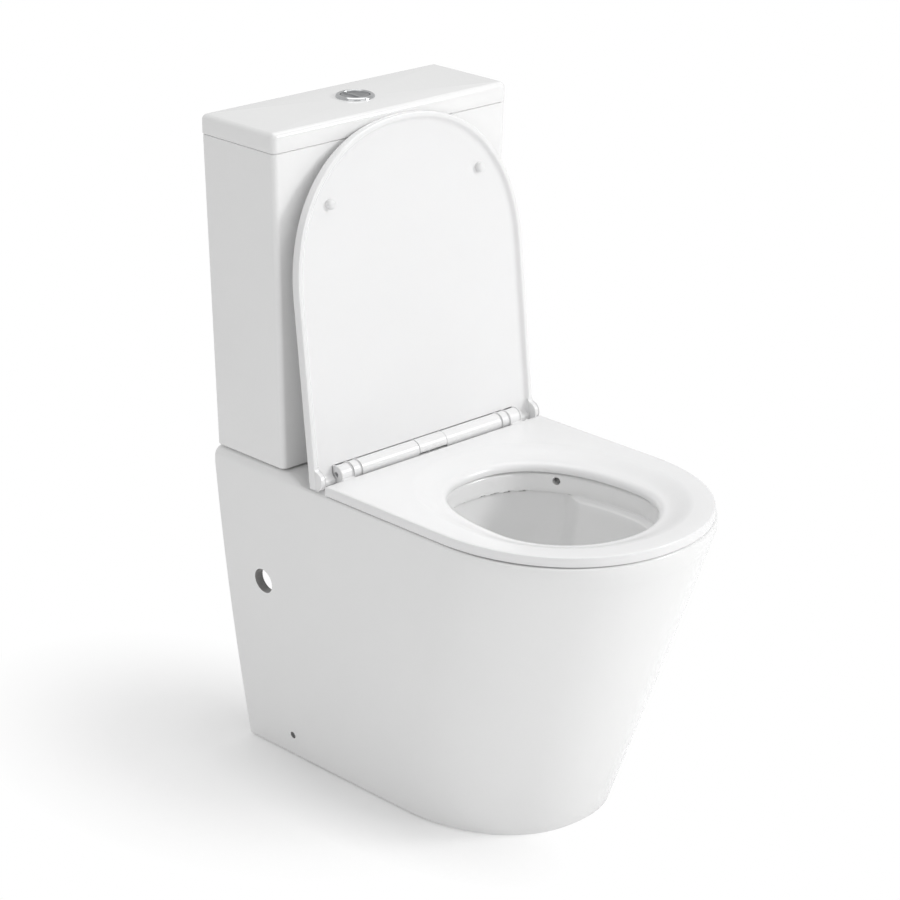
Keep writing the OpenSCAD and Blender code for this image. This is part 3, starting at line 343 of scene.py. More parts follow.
def rod(name, a, b, d, n=48, edge=0.0):
    """Cylinder between two (x, t, z) points."""
    pa, pb = to_row([a])[0] * 1000, to_row([b])[0] * 1000
    v = Vector(pb - pa)
    q = v.to_track_quat("Z", "Y").to_matrix()
    h = v.length
    steps = [(0, d / 2), (h, d / 2)]
    if edge:
        steps = [(0, d / 2 - edge), (edge * 0.3, d / 2 - edge * 0.3), (edge, d / 2),
                 (h - edge, d / 2), (h - edge * 0.3, d / 2 - edge * 0.3), (h, d / 2 - edge)]
    rings = [np.array([tuple(Vector(pa) + q @ Vector((x, y, z))) for x, y in circle_pts(0, 0, r, n)])
             for z, r in steps]
    return loft(name, rings, row=False)


def upright(name, x, low, high, d, n=48):
    """Upright cylinder on the line of the valves, between two heights."""
    return rod(name, (x, VALVE_T, low), (x, VALVE_T, high), d, n)


def lathe(name, x, t, steps, n=96, cap=True):
    """Turned shape about an upright axis from (radius, z) steps, given from low to high on its outside."""
    rings = [np.array([(x + a, t - b, z) for a, b in circle_pts(0, 0, r, n)]) for r, z in steps]
    return loft(name, rings, loop=not cap)


def discard(ob):
    mesh = ob.data
    bpy.data.objects.remove(ob)
    bpy.data.meshes.remove(mesh)


def cut(target, *tools, op="DIFFERENCE", solver="MANIFOLD"):
    """Each tool in turn taken from the target, or added to it, and then thrown away."""
    for tool in tools:
        m = target.modifiers.new("cut", "BOOLEAN")
        m.operation = op
        m.object = tool
        m.solver = solver
        bake(target)
        discard(tool)


def join(name, *obs):
    """One object from several, each keeping its own closed surface."""
    verts, faces, base = [], [], 0
    for o in obs:
        verts += [tuple(o.matrix_world @ v.co) for v in o.data.vertices]
        faces += [tuple(base + i for i in p.vertices) for p in o.data.polygons]
        base = len(verts)
        discard(o)
    return make(name, verts, faces)


# Materials.
def nodes_of(name):
    m = bpy.data.materials.new(name)
    m.use_nodes = True
    nt = m.node_tree
    nt.nodes.clear()
    out = nt.nodes.new("ShaderNodeOutputMaterial")
    sh = nt.nodes.new("ShaderNodeBsdfPrincipled")
    nt.links.new(sh.outputs[0], out.inputs[0])
    pos = nt.nodes.new("ShaderNodeTexCoord")
    return m, nt, sh, pos.outputs["Object"]


def noise(nt, vec, scale, detail, rough=0.5):
    n = nt.nodes.new("ShaderNodeTexNoise")
    n.inputs["Scale"].default_value = scale
    n.inputs["Detail"].default_value = detail
    n.inputs["Roughness"].default_value = rough
    nt.links.new(vec, n.inputs["Vector"])
    return n.outputs["Fac"]


def ramp(nt, fac, stops):
    r = nt.nodes.new("ShaderNodeValToRGB")
    el = r.color_ramp.elements
    el[0].position, el[0].color = stops[0]
    el[1].position, el[1].color = stops[-1]
    for p, c in stops[1:-1]:
        e = el.new(p)
        e.color = c
    nt.links.new(fac, r.inputs[0])
    return r.outputs[0]


def math_node(nt, op, a, b=None):
    n = nt.nodes.new("ShaderNodeMath")
    n.operation = op
    for i, v in enumerate((a, b)):
        if v is None:
            continue
        if isinstance(v, (int, float)):
            n.inputs[i].default_value = v
        else:
            nt.links.new(v, n.inputs[i])
    return n.outputs[0]


def bump(nt, height, strength, distance, normal=None):
    b = nt.nodes.new("ShaderNodeBump")
    b.inputs["Strength"].default_value = strength
    b.inputs["Distance"].default_value = distance
    nt.links.new(height, b.inputs["Height"])
    if normal is not None:
        nt.links.new(normal, b.inputs["Normal"])
    return b.outputs[0]


def grey(v):
    return v, v, v, 1.0


def node_of_type(nt, kind):
    return next(n for n in nt.nodes if n.type == kind)


def surface(name, base, spread, rough, rough_spread, scale, wave=0.0, grain=0.0, coat=0.0, metal=0.0,
            tint=(0.0, 0.0, 0.0), sss=0.0, spec=0.5):
    """Glazed, moulded or metal surface: cloudy colour, uneven gloss, slow waves and a fine grain."""
    m, nt, sh, vec = nodes_of(name)
    cloud = noise(nt, vec, scale, 4.0)
    speck = noise(nt, vec, scale * 40, 2.0)
    mixed = math_node(nt, "ADD", math_node(nt, "MULTIPLY", cloud, 0.75),
                      math_node(nt, "MULTIPLY", speck, 0.25))
    lo = tuple(max(0, b - spread) + t for b, t in zip(base, tint)) + (1,)
    hi = tuple(min(1, b + spread) for b in base) + (1,)
    col = ramp(nt, mixed, [(0.3, lo), (0.7, hi)])
    nt.links.new(col, sh.inputs["Base Color"])
    r = ramp(nt, noise(nt, vec, scale * 5, 5.0, 0.6),
             [(0.25, grey(max(0.0, rough - rough_spread))), (0.75, grey(rough + rough_spread))])
    nt.links.new(r, sh.inputs["Roughness"])
    sh.inputs["Metallic"].default_value = metal
    sh.inputs["Specular IOR Level"].default_value = spec
    if coat:
        sh.inputs["Coat Weight"].default_value = coat
        sh.inputs["Coat Roughness"].default_value = 0.04
    if sss:
        sh.inputs["Subsurface Weight"].default_value = sss
        sh.inputs["Subsurface Radius"].default_value = (1, 0.9, 0.8)
        sh.inputs["Subsurface Scale"].default_value = 0.002
    norm = None
    if wave:
        norm = bump(nt, noise(nt, vec, 9.0, 1.0), wave, 0.002)
    if grain:
        norm = bump(nt, noise(nt, vec, 900.0, 2.0), grain, 0.0002, norm)
    if norm is not None:
        nt.links.new(norm, sh.inputs["Normal"])
    return m


# Dark grey painted on the hole walls: mostly painted shade of the holes' insides, partly the unglazed china
# there.
UNGLAZED_AND_SHADE_GREY = (0.33, 0.325, 0.32, 1)


def shade_holes(m):
    """Painted shade on the walls of the side holes, partly also their duller unglazed china: a dark grey,
    told apart by their distance from the hole's axis.
    """
    nt = m.node_tree
    sh = node_of_type(nt, "BSDF_PRINCIPLED")
    glaze = sh.inputs["Base Color"].links[0].from_socket
    place = nt.nodes.new("ShaderNodeTexCoord")
    split = nt.nodes.new("ShaderNodeSeparateXYZ")
    nt.links.new(place.outputs["Object"], split.inputs[0])
    inside = []
    for (t, z, d), room in ((SERVICE_HOLE, 0.3), (FIX_HEAD, 0.2)):
        off_y = math_node(nt, "SUBTRACT", split.outputs[1], (WALL_Y - t) / 1000)
        off_z = math_node(nt, "SUBTRACT", split.outputs[2], z / 1000)
        reach = math_node(nt, "ADD", math_node(nt, "MULTIPLY", off_y, off_y),
                          math_node(nt, "MULTIPLY", off_z, off_z))
        inside.append(math_node(nt, "LESS_THAN", reach, ((d + room) / 2000) ** 2))
    # The spigot lies inside the service holes' cylinder too, so only |x| over 0.1 m counts.
    in_skirt = math_node(nt, "GREATER_THAN", math_node(nt, "ABSOLUTE", split.outputs[0]), 0.1)
    # The glaze colour gives way to the painted shade grey inside the holes.
    mix = nt.nodes.new("ShaderNodeMix")
    mix.data_type = "RGBA"
    nt.links.new(math_node(nt, "MULTIPLY", math_node(nt, "MAXIMUM", *inside), in_skirt), mix.inputs[0])
    nt.links.new(glaze, mix.inputs[6])
    mix.inputs[7].default_value = UNGLAZED_AND_SHADE_GREY
    nt.links.new(mix.outputs[2], sh.inputs["Base Color"])


china = surface("glazed_china", (0.87, 0.87, 0.868), 0.008, 0.17, 0.03, 6.0, wave=0.10, grain=0.05,
                coat=0.3, tint=(-0.002, -0.001, 0.0))
# Painted shade in the side holes of the glazed china.
shade_holes(china)
moulded = surface("moulded_seat", (0.86, 0.86, 0.862), 0.006, 0.22, 0.03, 8.0, wave=0.03, grain=0.10,
                  sss=0.02)
cap_white = surface("bumper_plastic", (0.80, 0.80, 0.80), 0.01, 0.35, 0.05, 30.0, grain=0.2)
nylon = surface("valve_plastic", (0.72, 0.73, 0.74), 0.02, 0.42, 0.06, 30.0, grain=0.3)
blue = surface("valve_blue", (0.10, 0.24, 0.48), 0.02, 0.40, 0.06, 30.0, grain=0.3)
rubber = surface("dark_rubber", (0.035, 0.035, 0.037), 0.01, 0.72, 0.08, 60.0, grain=0.8, spec=0.3)
brass = surface("cast_brass", (0.62, 0.45, 0.19), 0.05, 0.32, 0.10, 60.0, grain=0.5, metal=1.0)
steel = surface("zinc_steel", (0.56, 0.57, 0.58), 0.04, 0.30, 0.10, 70.0, grain=0.4, metal=1.0)


def chrome_material(name, lo, hi):
    """Plated plastic: bright, with hairline polishing marks round the axis and a faint haze."""
    m, nt, sh, vec = nodes_of(name)
    haze = noise(nt, vec, 120.0, 4.0)
    tones = [(p, (v, v + 0.01, v + 0.02, 1)) for p, v in ((0.3, lo), (0.7, hi))]
    nt.links.new(ramp(nt, haze, tones), sh.inputs["Base Color"])
    nt.links.new(ramp(nt, noise(nt, vec, 400.0, 6.0, 0.7), [(0.3, grey(0.04)), (0.8, grey(0.14))]),
                 sh.inputs["Roughness"])
    sh.inputs["Metallic"].default_value = 1.0
    stretch = nt.nodes.new("ShaderNodeMapping")
    stretch.inputs["Scale"].default_value = (60, 1800, 60)
    nt.links.new(vec, stretch.inputs["Vector"])
    nt.links.new(bump(nt, noise(nt, stretch.outputs[0], 1.0, 3.0), 0.06, 0.0002), sh.inputs["Normal"])
    return m


chrome = chrome_material("bright_chrome", 0.62, 0.74)
# The keys are the same chrome with a darker base colour, which paints in the dark reflections across their
# middle.
dark_reflection_chrome = chrome_material("button_chrome_painted_dark", 0.26, 0.40)


def paint(ob, mat):
    ob.data.materials.clear()
    ob.data.materials.append(mat)
    for p in ob.data.polygons:
        p.material_index = 0


def piece(ob, body, mat, slot, *stands_for):
    paint(ob, mat)
    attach(ob, body)
    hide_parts(*stands_for)


# Pan.
def pan_skin():
    """The glazed skin: up the outside, over the rim, down the flushing wall and into the sump."""
    rings = [pan_ring(0, 0, 6.0), pan_ring(0, 1.2, 5.8), pan_ring(0, 1.5, 1.0), pan_ring(0, FOOT)]
    steps = 26
    rings += [pan_ring(i / steps, lerp(FOOT, SKIRT_TOP, i / steps)) for i in range(1, steps + 1)]
    rings += [edge_ring(a) for a in (0, 11.25, 22.5, 33.75, 45, 56.25, 67.5, 78.75, 90)]
    flat = [lerp(DECK_END, SLOPE_END, k) for k in np.linspace(0, 1, 9)]
    rings += [raised(drawn_to(t, pan_ring(1, RIM_Z, DECK_EDGE + 2 + i / 4))) for i, t in enumerate(flat)]
    rings += [opening_ring(g, z) for g, z in (
        (44, RIM_Z), (40, RIM_Z - 0.2), (36, RIM_Z - 0.7), (30, RIM_Z - 2.25), (20, RIM_Z - 5.0),
        (12, RIM_Z - 7.1), (7.5, RIM_Z - 8.3), (5, OPEN_Z + 0.95), (3, OPEN_Z + 0.3), (1.4, OPEN_Z - 0.7),
        (0.4, OPEN_Z - 2.2))]
    for g in (0.0, 0.25, 0.5, 0.75):
        rings.append(opening_ring(0, WASH_TOP - g * (WASH - 1.5)))
    lip = [  # under the flushing wall: (grow, z) at the back, (grow, z) along the shelf
        ((0.0, WASH_LOW + 1.2), (1.7, WASH_LOW + 2.0)), ((0.4, WASH_LOW + 0.3), (2.0, WASH_LOW + 0.3)),
        ((1.3, WASH_LOW), (1.2, WASH_LOW - 1.0)), ((4.0, WASH_LOW - 0.8), (-1.0, WASH_LOW - 2.0)),
        ((6.0, WASH_LOW - 1.8), (-4.2, WASH_LOW - 3.2)), ((6.2, WASH_LOW - 3.2), (-6.6, WASH_LOW - 4.0)),
        ((6.1, WASH_LOW - 4.6), (-7.7, WASH_LOW - 5.0))]
    for (g0, z0), (g1, z1) in lip:
        rings.append(shelf_mix(opening_ring(g0, z0), opening_ring(g1, z1)))
    rings += [bowl_ring(i / 30) for i in range(31)]
    low = [(0.3, SUMP_TOP - 8), (1.0, SUMP_TOP - 17), (2.2, SUMP_TOP - 26), (4.0, SUMP_Z + 36),
           (6.2, SUMP_Z + 27), (8.8, SUMP_Z + 16), (11.8, SUMP_Z + 8.5), (15.6, SUMP_Z + 3), (20.0, SUMP_Z)]
    rings += [sump_ring(s, z) for s, z in low]
    return loft("pan_glaze", rings)


# Trapway: bore and wall, where it starts and first bends in t, and how long its climb and its end are.
TRAP_D, TRAP_WALL = 64.0, 8.0
TRAP_START, TRAP_BEND, TRAP_CLIMB, TRAP_END = 350.0, 290.0, 70.0, 12.0


def trap_path():
    """(t, z, slope in degrees) along the trapway: up to the weir, over it and down to the spigot."""
    rise, drop, r0, r1 = 65.0, 75.0, 45.0, 48.0
    z0 = SUMP_Z + TRAP_D / 2
    sin, cos = (lambda d: math.sin(math.radians(d))), (lambda d: math.cos(math.radians(d)))
    start = np.array([TRAP_BEND - r0 * sin(rise), z0 + r0 * (1 - cos(rise))])
    end = start + TRAP_CLIMB * np.array([-cos(rise), sin(rise)])
    mid = end - r1 * np.array([sin(rise), cos(rise)])
    fall = mid + r1 * np.array([-sin(drop), cos(drop)])
    r2 = (fall[1] - SPIGOT_Z) / (1 - cos(drop))
    mid2 = fall + r2 * np.array([-sin(drop), cos(drop)])
    path = [(TRAP_START, z0, 0)]
    path += [(TRAP_BEND - r0 * sin(a), z0 + r0 * (1 - cos(a)), a) for a in np.linspace(0, rise, 12)]
    path += [(mid[0] + r1 * sin(a), mid[1] + r1 * cos(a), a) for a in np.linspace(rise, -drop, 24)]
    path += [(mid2[0] - r2 * sin(a), mid2[1] - r2 * cos(a), a) for a in np.linspace(-drop, 0, 12)[1:]]
    path += [(mid2[0] - TRAP_END, SPIGOT_Z, 0)]
    return path


def pipe(name, r):
    """Round pipe of radius r along the trapway."""
    rings = []
    for t, z, a in trap_path():
        s, c = math.sin(math.radians(a)), math.cos(math.radians(a))
        rings.append(np.array([(-r * math.cos(f), t + r * math.sin(f) * s, z + r * math.sin(f) * c)
                               for f in np.linspace(0, 2 * math.pi, 49)[:-1]]))
    return loft(name, rings)


def side_half(z):
    """Half the pan's width at a height on its straight sides."""
    k = (z - FOOT) / (SKIRT_TOP - FOOT)
    return lerp(FOOT_W, RIM_W, k) / 2 + SWELL * 4 * k * (1 - k)


def side_hole(name, side, t, z, d, inner=None):
    """Tool for a hole through the skirt on one side, or for a recess from x = inner outwards."""
    h = side_half(z)
    return rod(name, (side * (inner or h - 24), t, z), (side * (h + 24), t, z), d)


# The duct to a side jet, in (x, t, z): JET_PAST lies a tenth of the first leg beyond its turn.
JET_START, JET_TURN, JET_MOUTH = (60, 244, WASH_LOW + 2), (104, 315, WASH_TOP - 5), (88, 324, WASH_TOP - 5)
JET_PAST = tuple(1.1 * b - 0.1 * a for a, b in zip(JET_START, JET_TURN))
RIM_SLOTS = (17, 36, 54, 70)


def side_of(side, p):
    return side * p[0], p[1], p[2]


def pan_hollow():
    """The room inside the skirt, less the bowl, the trapway and the ducts that stand in it."""
    top_k = (UNDER - FOOT) / (SKIRT_TOP - FOOT)
    rings = [pan_ring(0, -0.5, SKIRT, -0.5, COARSE)]
    rings += [pan_ring(k * top_k, lerp(FOOT, UNDER, k), SKIRT, -0.5, COARSE) for k in np.linspace(0, 1, 12)]
    hollow = loft("hollow", rings)
    w = BOWL_WALL
    shell = [sump_ring(shrink, z, w, COARSE) for shrink, z in (
        (20, SUMP_Z - w), (14, SUMP_Z - w + 6), (10, SUMP_Z - w + 12), (4, SUMP_Z + 36))]
    shell += [bowl_ring(k, w, COARSE) for k in np.linspace(1, 0, 16)]
    shell += [opening_ring(w + 5, z, COARSE) for z in (SHELF_Z + 5, UNDER + 3)]
    top = UNDER + 1
    low = WASH_LOW - 19
    cut(hollow, loft("shell", shell), pipe("trap_shell", TRAP_D / 2 + TRAP_WALL),
        rod("spigot", (0, 93, SPIGOT_Z), (0, 55, SPIGOT_Z), 102, 96, edge=2.0),
        box("channel", (-58, 4, low), (58, 248, top)), box("wide", (-82, 208, low), (82, 258, top)))
    for s in (-1, 1):
        cut(hollow, rod("jet_body", side_of(s, JET_START), side_of(s, JET_PAST), 20),
            rod("jet_body_end", side_of(s, JET_TURN), side_of(s, JET_MOUTH), 22))
    return hollow


def build_pan():
    pan = pan_skin()
    cut(pan, pan_hollow())
    cut(pan, pipe("trap_bore", TRAP_D / 2),
        rod("spigot_bore", (0, 88.5, SPIGOT_Z), (0, 54.5, SPIGOT_Z), 88, 96),
        box("water", (-48, 14, WASH_LOW - 9), (48, 248, RIM_Z - 28)),
        box("water_wide", (-72, 218, WASH_LOW - 9), (72, 248, RIM_Z - 28)),
        upright("inlet_seat", 0, DECK_Z - 20, DECK_Z + 1, 98, 96),
        upright("inlet_hole", 0, RIM_Z - 29, DECK_Z, 72, 96),
        upright("access", FILL_X, UNDER - 1, DECK_Z + 1, 46, 64))
    for s in (-1, 1):
        seat_x = s * SEAT_BOLT_X
        cut(pan, rod("jet", side_of(s, JET_START), side_of(s, JET_TURN), 8),
            rod("jet_mouth", side_of(s, JET_TURN), side_of(s, JET_MOUTH), 10),
            rod("seat_bolt", (seat_x, HINGE_T, UNDER - 1), (seat_x, HINGE_T, RIM_Z + 1), BOLT_HOLE),
            upright("tank_bolt", s * TANK_BOLT_X, UNDER - 1, DECK_Z + 1, BOLT_HOLE),
            side_hole("service", s, *SERVICE_HOLE), side_hole("fix", s, *FIX_HOLE),
            side_hole("fix_head", s, *FIX_HEAD, side_half(FIX_HEAD[1]) - 6))
        for x in RIM_SLOTS:
            depth = (WIDE - BOWL_BACK) * (1 - (x / (BOWL_W / 2)) ** BACK_POWER) ** (1 / BACK_POWER)
            t = WIDE - depth + 2
            cut(pan, box("slot", (s * x - 3.5, 244, WASH_LOW - 3.0), (s * x + 3.5, t, WASH_LOW + 1.5)))
    return pan


piece(build_pan(), "suite", china, "glazed_china", "pan")


# Cistern and lid.
def tank_width(k):
    return lerp(TANK_LOW_W, TANK_TOP_W, k)


def tank_front(k):
    return lerp(TANK_LOW_FRONT, TANK_FRONT, k)


def build_cistern():
    rings = []
    for deg in (0, 30, 60, 90):
        d, up = quarter(2.5, deg)
        rings.append(plate_ring(TANK_LOW_W - 2 * d, TANK_BACK + d, TANK_LOW_FRONT - d, TANK_R, TANK_Z + up))
    rings += [plate_ring(tank_width(k), TANK_BACK, tank_front(k), TANK_R, lerp(TANK_Z, TANK_TOP, k))
              for k in (0.33, 0.66, 0.985)]
    for deg in (30, 60, 90):
        down, d = quarter(1.2, deg)
        rings.append(plate_ring(TANK_TOP_W - 2 * d, TANK_BACK + d, TANK_FRONT - d, TANK_R, TANK_TOP - down))
    tank = loft("cistern_glaze", rings)
    k = (TANK_FLOOR - TANK_Z) / TANK_H
    w = TANK_WALL
    inner = loft("inner", [
        plate_ring(tank_width(k) - 2 * w, TANK_BACK + w, tank_front(k) - w, 8, TANK_FLOOR),
        plate_ring(TANK_TOP_W - 2 * w, TANK_BACK + w, TANK_FRONT - w, 8, TANK_TOP + 0.5)])
    low, high = TANK_Z - 1, TANK_FLOOR + 1
    cut(tank, inner, upright("valve_hole", 0, low, high, 63, 96), upright("fill_hole", FILL_X, low, high, 22))
    fix_z = TANK_TOP - 110
    for s in (-1, 1):
        cut(tank, upright("bolt_hole", s * TANK_BOLT_X, low, high, BOLT_HOLE),
            rod("wall_hole", (s * 130, TANK_BACK - 1, fix_z), (s * 130, TANK_BACK + 11, fix_z), 8))
    return tank


def build_lid():
    w, r = TANK_TOP_W + 2 * LID_OVER, TANK_R + LID_OVER
    t0, t1 = TANK_BACK - LID_OVER, TANK_FRONT + LID_OVER
    rings = []
    for deg in (0, 30, 60, 90):
        d, up = quarter(1.2, deg)
        rings.append(plate_ring(w - 2 * d, t0 + d, t1 - d, r - d, LID_Z + up))
    for deg in range(0, 91, 10):
        down, d = quarter(LID_EDGE, deg)
        rings.append(plate_ring(w - 2 * d, t0 + d, t1 - d, max(r - d, 0.5), LID_TOP - down))
    lid = loft("lid_glaze", rings)
    lip = TANK_WALL + 1.5
    lw, l0, l1 = TANK_TOP_W - 2 * lip, TANK_BACK + lip, TANK_FRONT - lip
    rim = loft("lip", [plate_ring(lw - 2, l0 + 1, l1 - 1, 6, LID_Z - 8), plate_ring(lw, l0, l1, 7, LID_Z - 7),
                       plate_ring(lw, l0, l1, 7, LID_Z + 1)])
    cut(lid, rim, op="UNION")
    cut(lid, loft("under", [plate_ring(lw - 10, l0 + 5, l1 - 5, 7, LID_Z - 9),
                            plate_ring(lw - 10, l0 + 5, l1 - 5, 7, LID_TOP - 12)]),
        upright("button_hole", 0, LID_Z, LID_TOP + 1, 40, 96))
    return lid


piece(build_cistern(), "suite", china, "glazed_china", "cistern")
piece(build_lid(), "suite", china, "glazed_china", "cistern_lid")


# Seat.
def seat_open(grow, z):
    return egg_ring(SEAT_HOLE_HALF + grow, SEAT_HOLE_BACK - grow, WIDE, SEAT_HOLE_FRONT + grow, z)


def seat_out(inset, z):
    return d_ring(RIM_W / 2 - 0.5 - inset, HINGE_T + 15 + inset, SEAT_STRAIGHT, PROJECTION - inset, 2.12, z)


def build_seat():
    """The ring: up its outer side, over the slope to the hole, down it and back along the underside."""
    top = OPEN_Z + 14
    rings = [seat_out(2.0, SEAT_LOW), seat_out(0.9, SEAT_LOW + 0.35), seat_out(0.2, SEAT_LOW + 1.0),
             seat_out(0, SEAT_LOW + 2.0), seat_out(0, SEAT_TOP - 1.8)]
    for deg in range(15, 91, 15):
        a = math.radians(deg)
        rings.append(seat_out(2 * (1 - math.cos(a)), SEAT_TOP - 1.8 * (1 - math.sin(a))))
    rings += [seat_out(8, SEAT_TOP)]
    drop = SEAT_TOP - top
    for k in np.linspace(0, 1, 14):
        rings.append(seat_open(lerp(41, 8.5, k), SEAT_TOP - drop * (0.35 * k + 0.65 * float(smooth(k)))))
    for deg in range(15, 91, 15):
        a = math.radians(deg)
        rings.append(seat_open(8.5 - 8.5 * math.sin(a), top - 7.5 * (1 - math.cos(a)) - 0.2 * math.sin(a)))
    rings += [seat_open(0, OPEN_Z + 4.2), seat_open(0.3, OPEN_Z + 3.0), seat_open(1.5, OPEN_Z + 2.1),
              seat_open(38, SEAT_LOW + 0.4), seat_open(41, SEAT_LOW)]
    return loft("seat_moulding", rings, loop=True)


def knuckle(name, x0, x1):
    """Round seat knuckle, with the pin hole through it."""
    k = profile_x(name, x0, x1, circle_pts(HINGE_T, HINGE_Z, BARREL), edge=1.2)
    low, high = min(x0, x1) - 1, max(x0, x1) + 1
    cut(k, rod("pin_hole", (low, HINGE_T, HINGE_Z), (high, HINGE_T, HINGE_Z), PIN_HOLE))
    return k


def build_seat_all():
    parts = [build_seat()]
    for s in (-1, 1):
        x0, x1 = s * SEAT_LUG[0], s * SEAT_LUG[1]
        parts.append(knuckle("kn", x0, x1))
        parts.append(box("arm", (x0, HINGE_T + 8, SEAT_LOW + 0.3), (x1, HINGE_T + 20, SEAT_TOP - 0.3), 1.2))
    return join("seat", *parts)


piece(build_seat_all(), "seat", moulded, "seat_plastic", "seat_ring")


# Cover and its buffers, drawn lowered and then raised about the hinge.
RAISE = (Matrix.Translation((0, (WALL_Y - HINGE_T) / 1000, HINGE_Z / 1000))
         @ Matrix.Rotation(math.radians(-OPEN_ANGLE), 4, "X")
         @ Matrix.Translation((0, -(WALL_Y - HINGE_T) / 1000, 0)))
COVER_T, HOLLOW, COVER_HALF = 15.0, 5.0, RIM_W / 2 + 2.0
COVER_LEN, COVER_BACK, COVER_STRAIGHT = PROJECTION - HINGE_T - 3, BARREL - 1.5, 405.0
EAR_W = 8.0
BUFFER_X, BUFFER_T, BUFFER_R = 121.0, HINGE_T + 323.0, 6.0


def cover_ring(inset, h):
    return d_ring(COVER_HALF - inset, HINGE_T - COVER_BACK + inset, COVER_STRAIGHT,
                  HINGE_T + COVER_LEN - inset, 2.2, h)


def lift(ob):
    """From the lowered cover's frame, where the hinge axis is at height 0, to the raised cover."""
    ob.data.transform(RAISE)
    return ob


def ear_outline():
    """Round lug about the hinge axis that runs into the cover's inner face by a hollow fillet."""
    fillet = 5.0
    run = math.sqrt(BARREL ** 2 + 2 * BARREL * fillet)
    low = math.atan2(fillet, run)
    pts = [(HINGE_T + BARREL * math.cos(a), BARREL * math.sin(a))
           for a in np.linspace(math.pi / 2, 2 * math.pi - low, 44)]
    pts += [(HINGE_T + run - fillet * math.cos(a), -fillet + fillet * math.sin(a))
            for a in np.linspace(low, math.pi / 2, 14)[1:]]
    return pts + [(HINGE_T + run, BARREL - 2)]


def build_cover():
    rings = [cover_ring(inset, h) for inset, h in (
        (15, HOLLOW), (12, HOLLOW - 0.15), (10, HOLLOW - 0.8), (8.4, HOLLOW - 2.0), (7.2, HOLLOW - 3.4),
        (6.2, 0.7), (5.4, 0.15), (4.6, 0), (1.6, 0), (0.7, 0.25), (0.15, 0.9), (0, 1.7), (0, COVER_T - 6))]
    for deg in range(15, 91, 15):
        a = math.radians(deg)
        rings.append(cover_ring(8 * (1 - math.cos(a)), COVER_T - 6 + 6 * math.sin(a)))
    rings += [cover_ring(20, COVER_T)]
    body = loft("cover_moulding", rings)
    x0, x1 = -POCKET_HALF, POCKET_HALF
    cut(body, box("pocket", (x0, HINGE_T - COVER_BACK - 2, -1), (x1, HINGE_T, BARREL + 0.8)),
        rod("trough", (x0, HINGE_T, 0), (x1, HINGE_T, 0), 2 * BARREL + 0.7))
    parts = [body]
    for s in (-1, 1):
        x0, x1 = s * COVER_LUG[0], s * COVER_LUG[1]
        k = profile_x("ck", x0, x1, circle_pts(HINGE_T, 0, BARREL), edge=0.8)
        cut(k, rod("ch", (x0 - s, HINGE_T, 0), (x1 + s, HINGE_T, 0), PIN_HOLE))
        parts.append(k)
        parts.append(box("web", (x0, HINGE_T - 7, 0.2), (x1, HINGE_T + 7, 13.2), 0.6))
        x0, x1 = s * (COVER_HALF - EAR_W), s * (COVER_HALF - 0.02)
        parts.append(profile_x("ear", x0, x1, ear_outline(), edge=1.0))
    return lift(join("cover", *parts))


piece(build_cover(), "cover", moulded, "seat_plastic", "seat_cover")


def build_bumpers():
    """Domed buffers on the cover's inner face, turned upright and then mirrored to hang down."""
    steps = [(5.7, -HOLLOW - 0.5), (BUFFER_R, -HOLLOW), (BUFFER_R, -1.4)]
    for deg in (15, 30, 45, 60, 72, 82):
        a = math.radians(deg)
        steps.append((BUFFER_R * math.cos(a) ** 0.7, -1.4 + 3.6 * math.sin(a)))
    parts = []
    for s in (-1, 1):
        ob = lathe("bump", s * BUFFER_X, BUFFER_T, steps, 48)
        ob.data.transform(Matrix.Scale(-1, 4, (0, 0, 1)))
        ob.data.flip_normals()
        finish_mesh(ob)
        parts.append(ob)
    return lift(join("bumpers", *parts))


piece(build_bumpers(), "cover", cap_white, "seat_plastic", "cover_buffers")


# Hinge bar and release button.
KEY_LOW, KEY_HALF = HINGE_Z - 2.8, 23.0


def build_bar():
    bar = profile_x("bar", -BAR_HALF, BAR_HALF, circle_pts(HINGE_T, HINGE_Z, BARREL, 96), edge=0.8)
    foot = box("foot", (-111, HINGE_T - 8, RIM_Z + 1), (111, HINGE_T + 8, HINGE_Z), 0.8)
    cut(bar, foot, op="UNION", solver="EXACT")
    for s in (-1, 1):
        end, stud = s * (BAR_HALF + 1), s * SEAT_BOLT_X
        cut(bar, rod("end_bore", (s * 86.5, HINGE_T, HINGE_Z), (end, HINGE_T, HINGE_Z), DAMPER_HOLE),
            rod("stud", (stud, HINGE_T, RIM_Z), (stud, HINGE_T, RIM_Z + 4.8), DAMPER_HOLE), solver="EXACT")
    well = KEY_HALF + 0.3
    cut(bar, box("well", (-well, HINGE_T - 13, KEY_LOW - 2.8), (well, HINGE_T + 13, HINGE_Z + 14)),
        rod("stem_hole", (0, HINGE_T, HINGE_Z - 12), (0, HINGE_T, KEY_LOW), 6.1), solver="EXACT")
    return bar


def build_release():
    a0 = math.asin((KEY_LOW - HINGE_Z) / BARREL)
    arc = [lerp(a0, math.pi - a0, i / 40) for i in range(41)]
    pts = [(HINGE_T + BARREL * math.cos(a), HINGE_Z + BARREL * math.sin(a)) for a in arc]
    key = profile_x("key", -KEY_HALF, KEY_HALF, pts, edge=0.7)
    stem = rod("stem", (0, HINGE_T, HINGE_Z - 9.2), (0, HINGE_T, KEY_LOW + 1), 6)
    return join("release_key", key, stem)


piece(build_bar(), "suite", moulded, "seat_plastic", "hinge_bar")
piece(build_release(), "release", moulded, "seat_plastic", "release_button")


# Flush button: a bezel round a disc that is split into a full and a half key.
BUTTON_D, BEZEL_T, SPLIT = 36.0, 3.5, -6.0
BUTTON_TOP = LID_TOP + BEZEL_T - 1


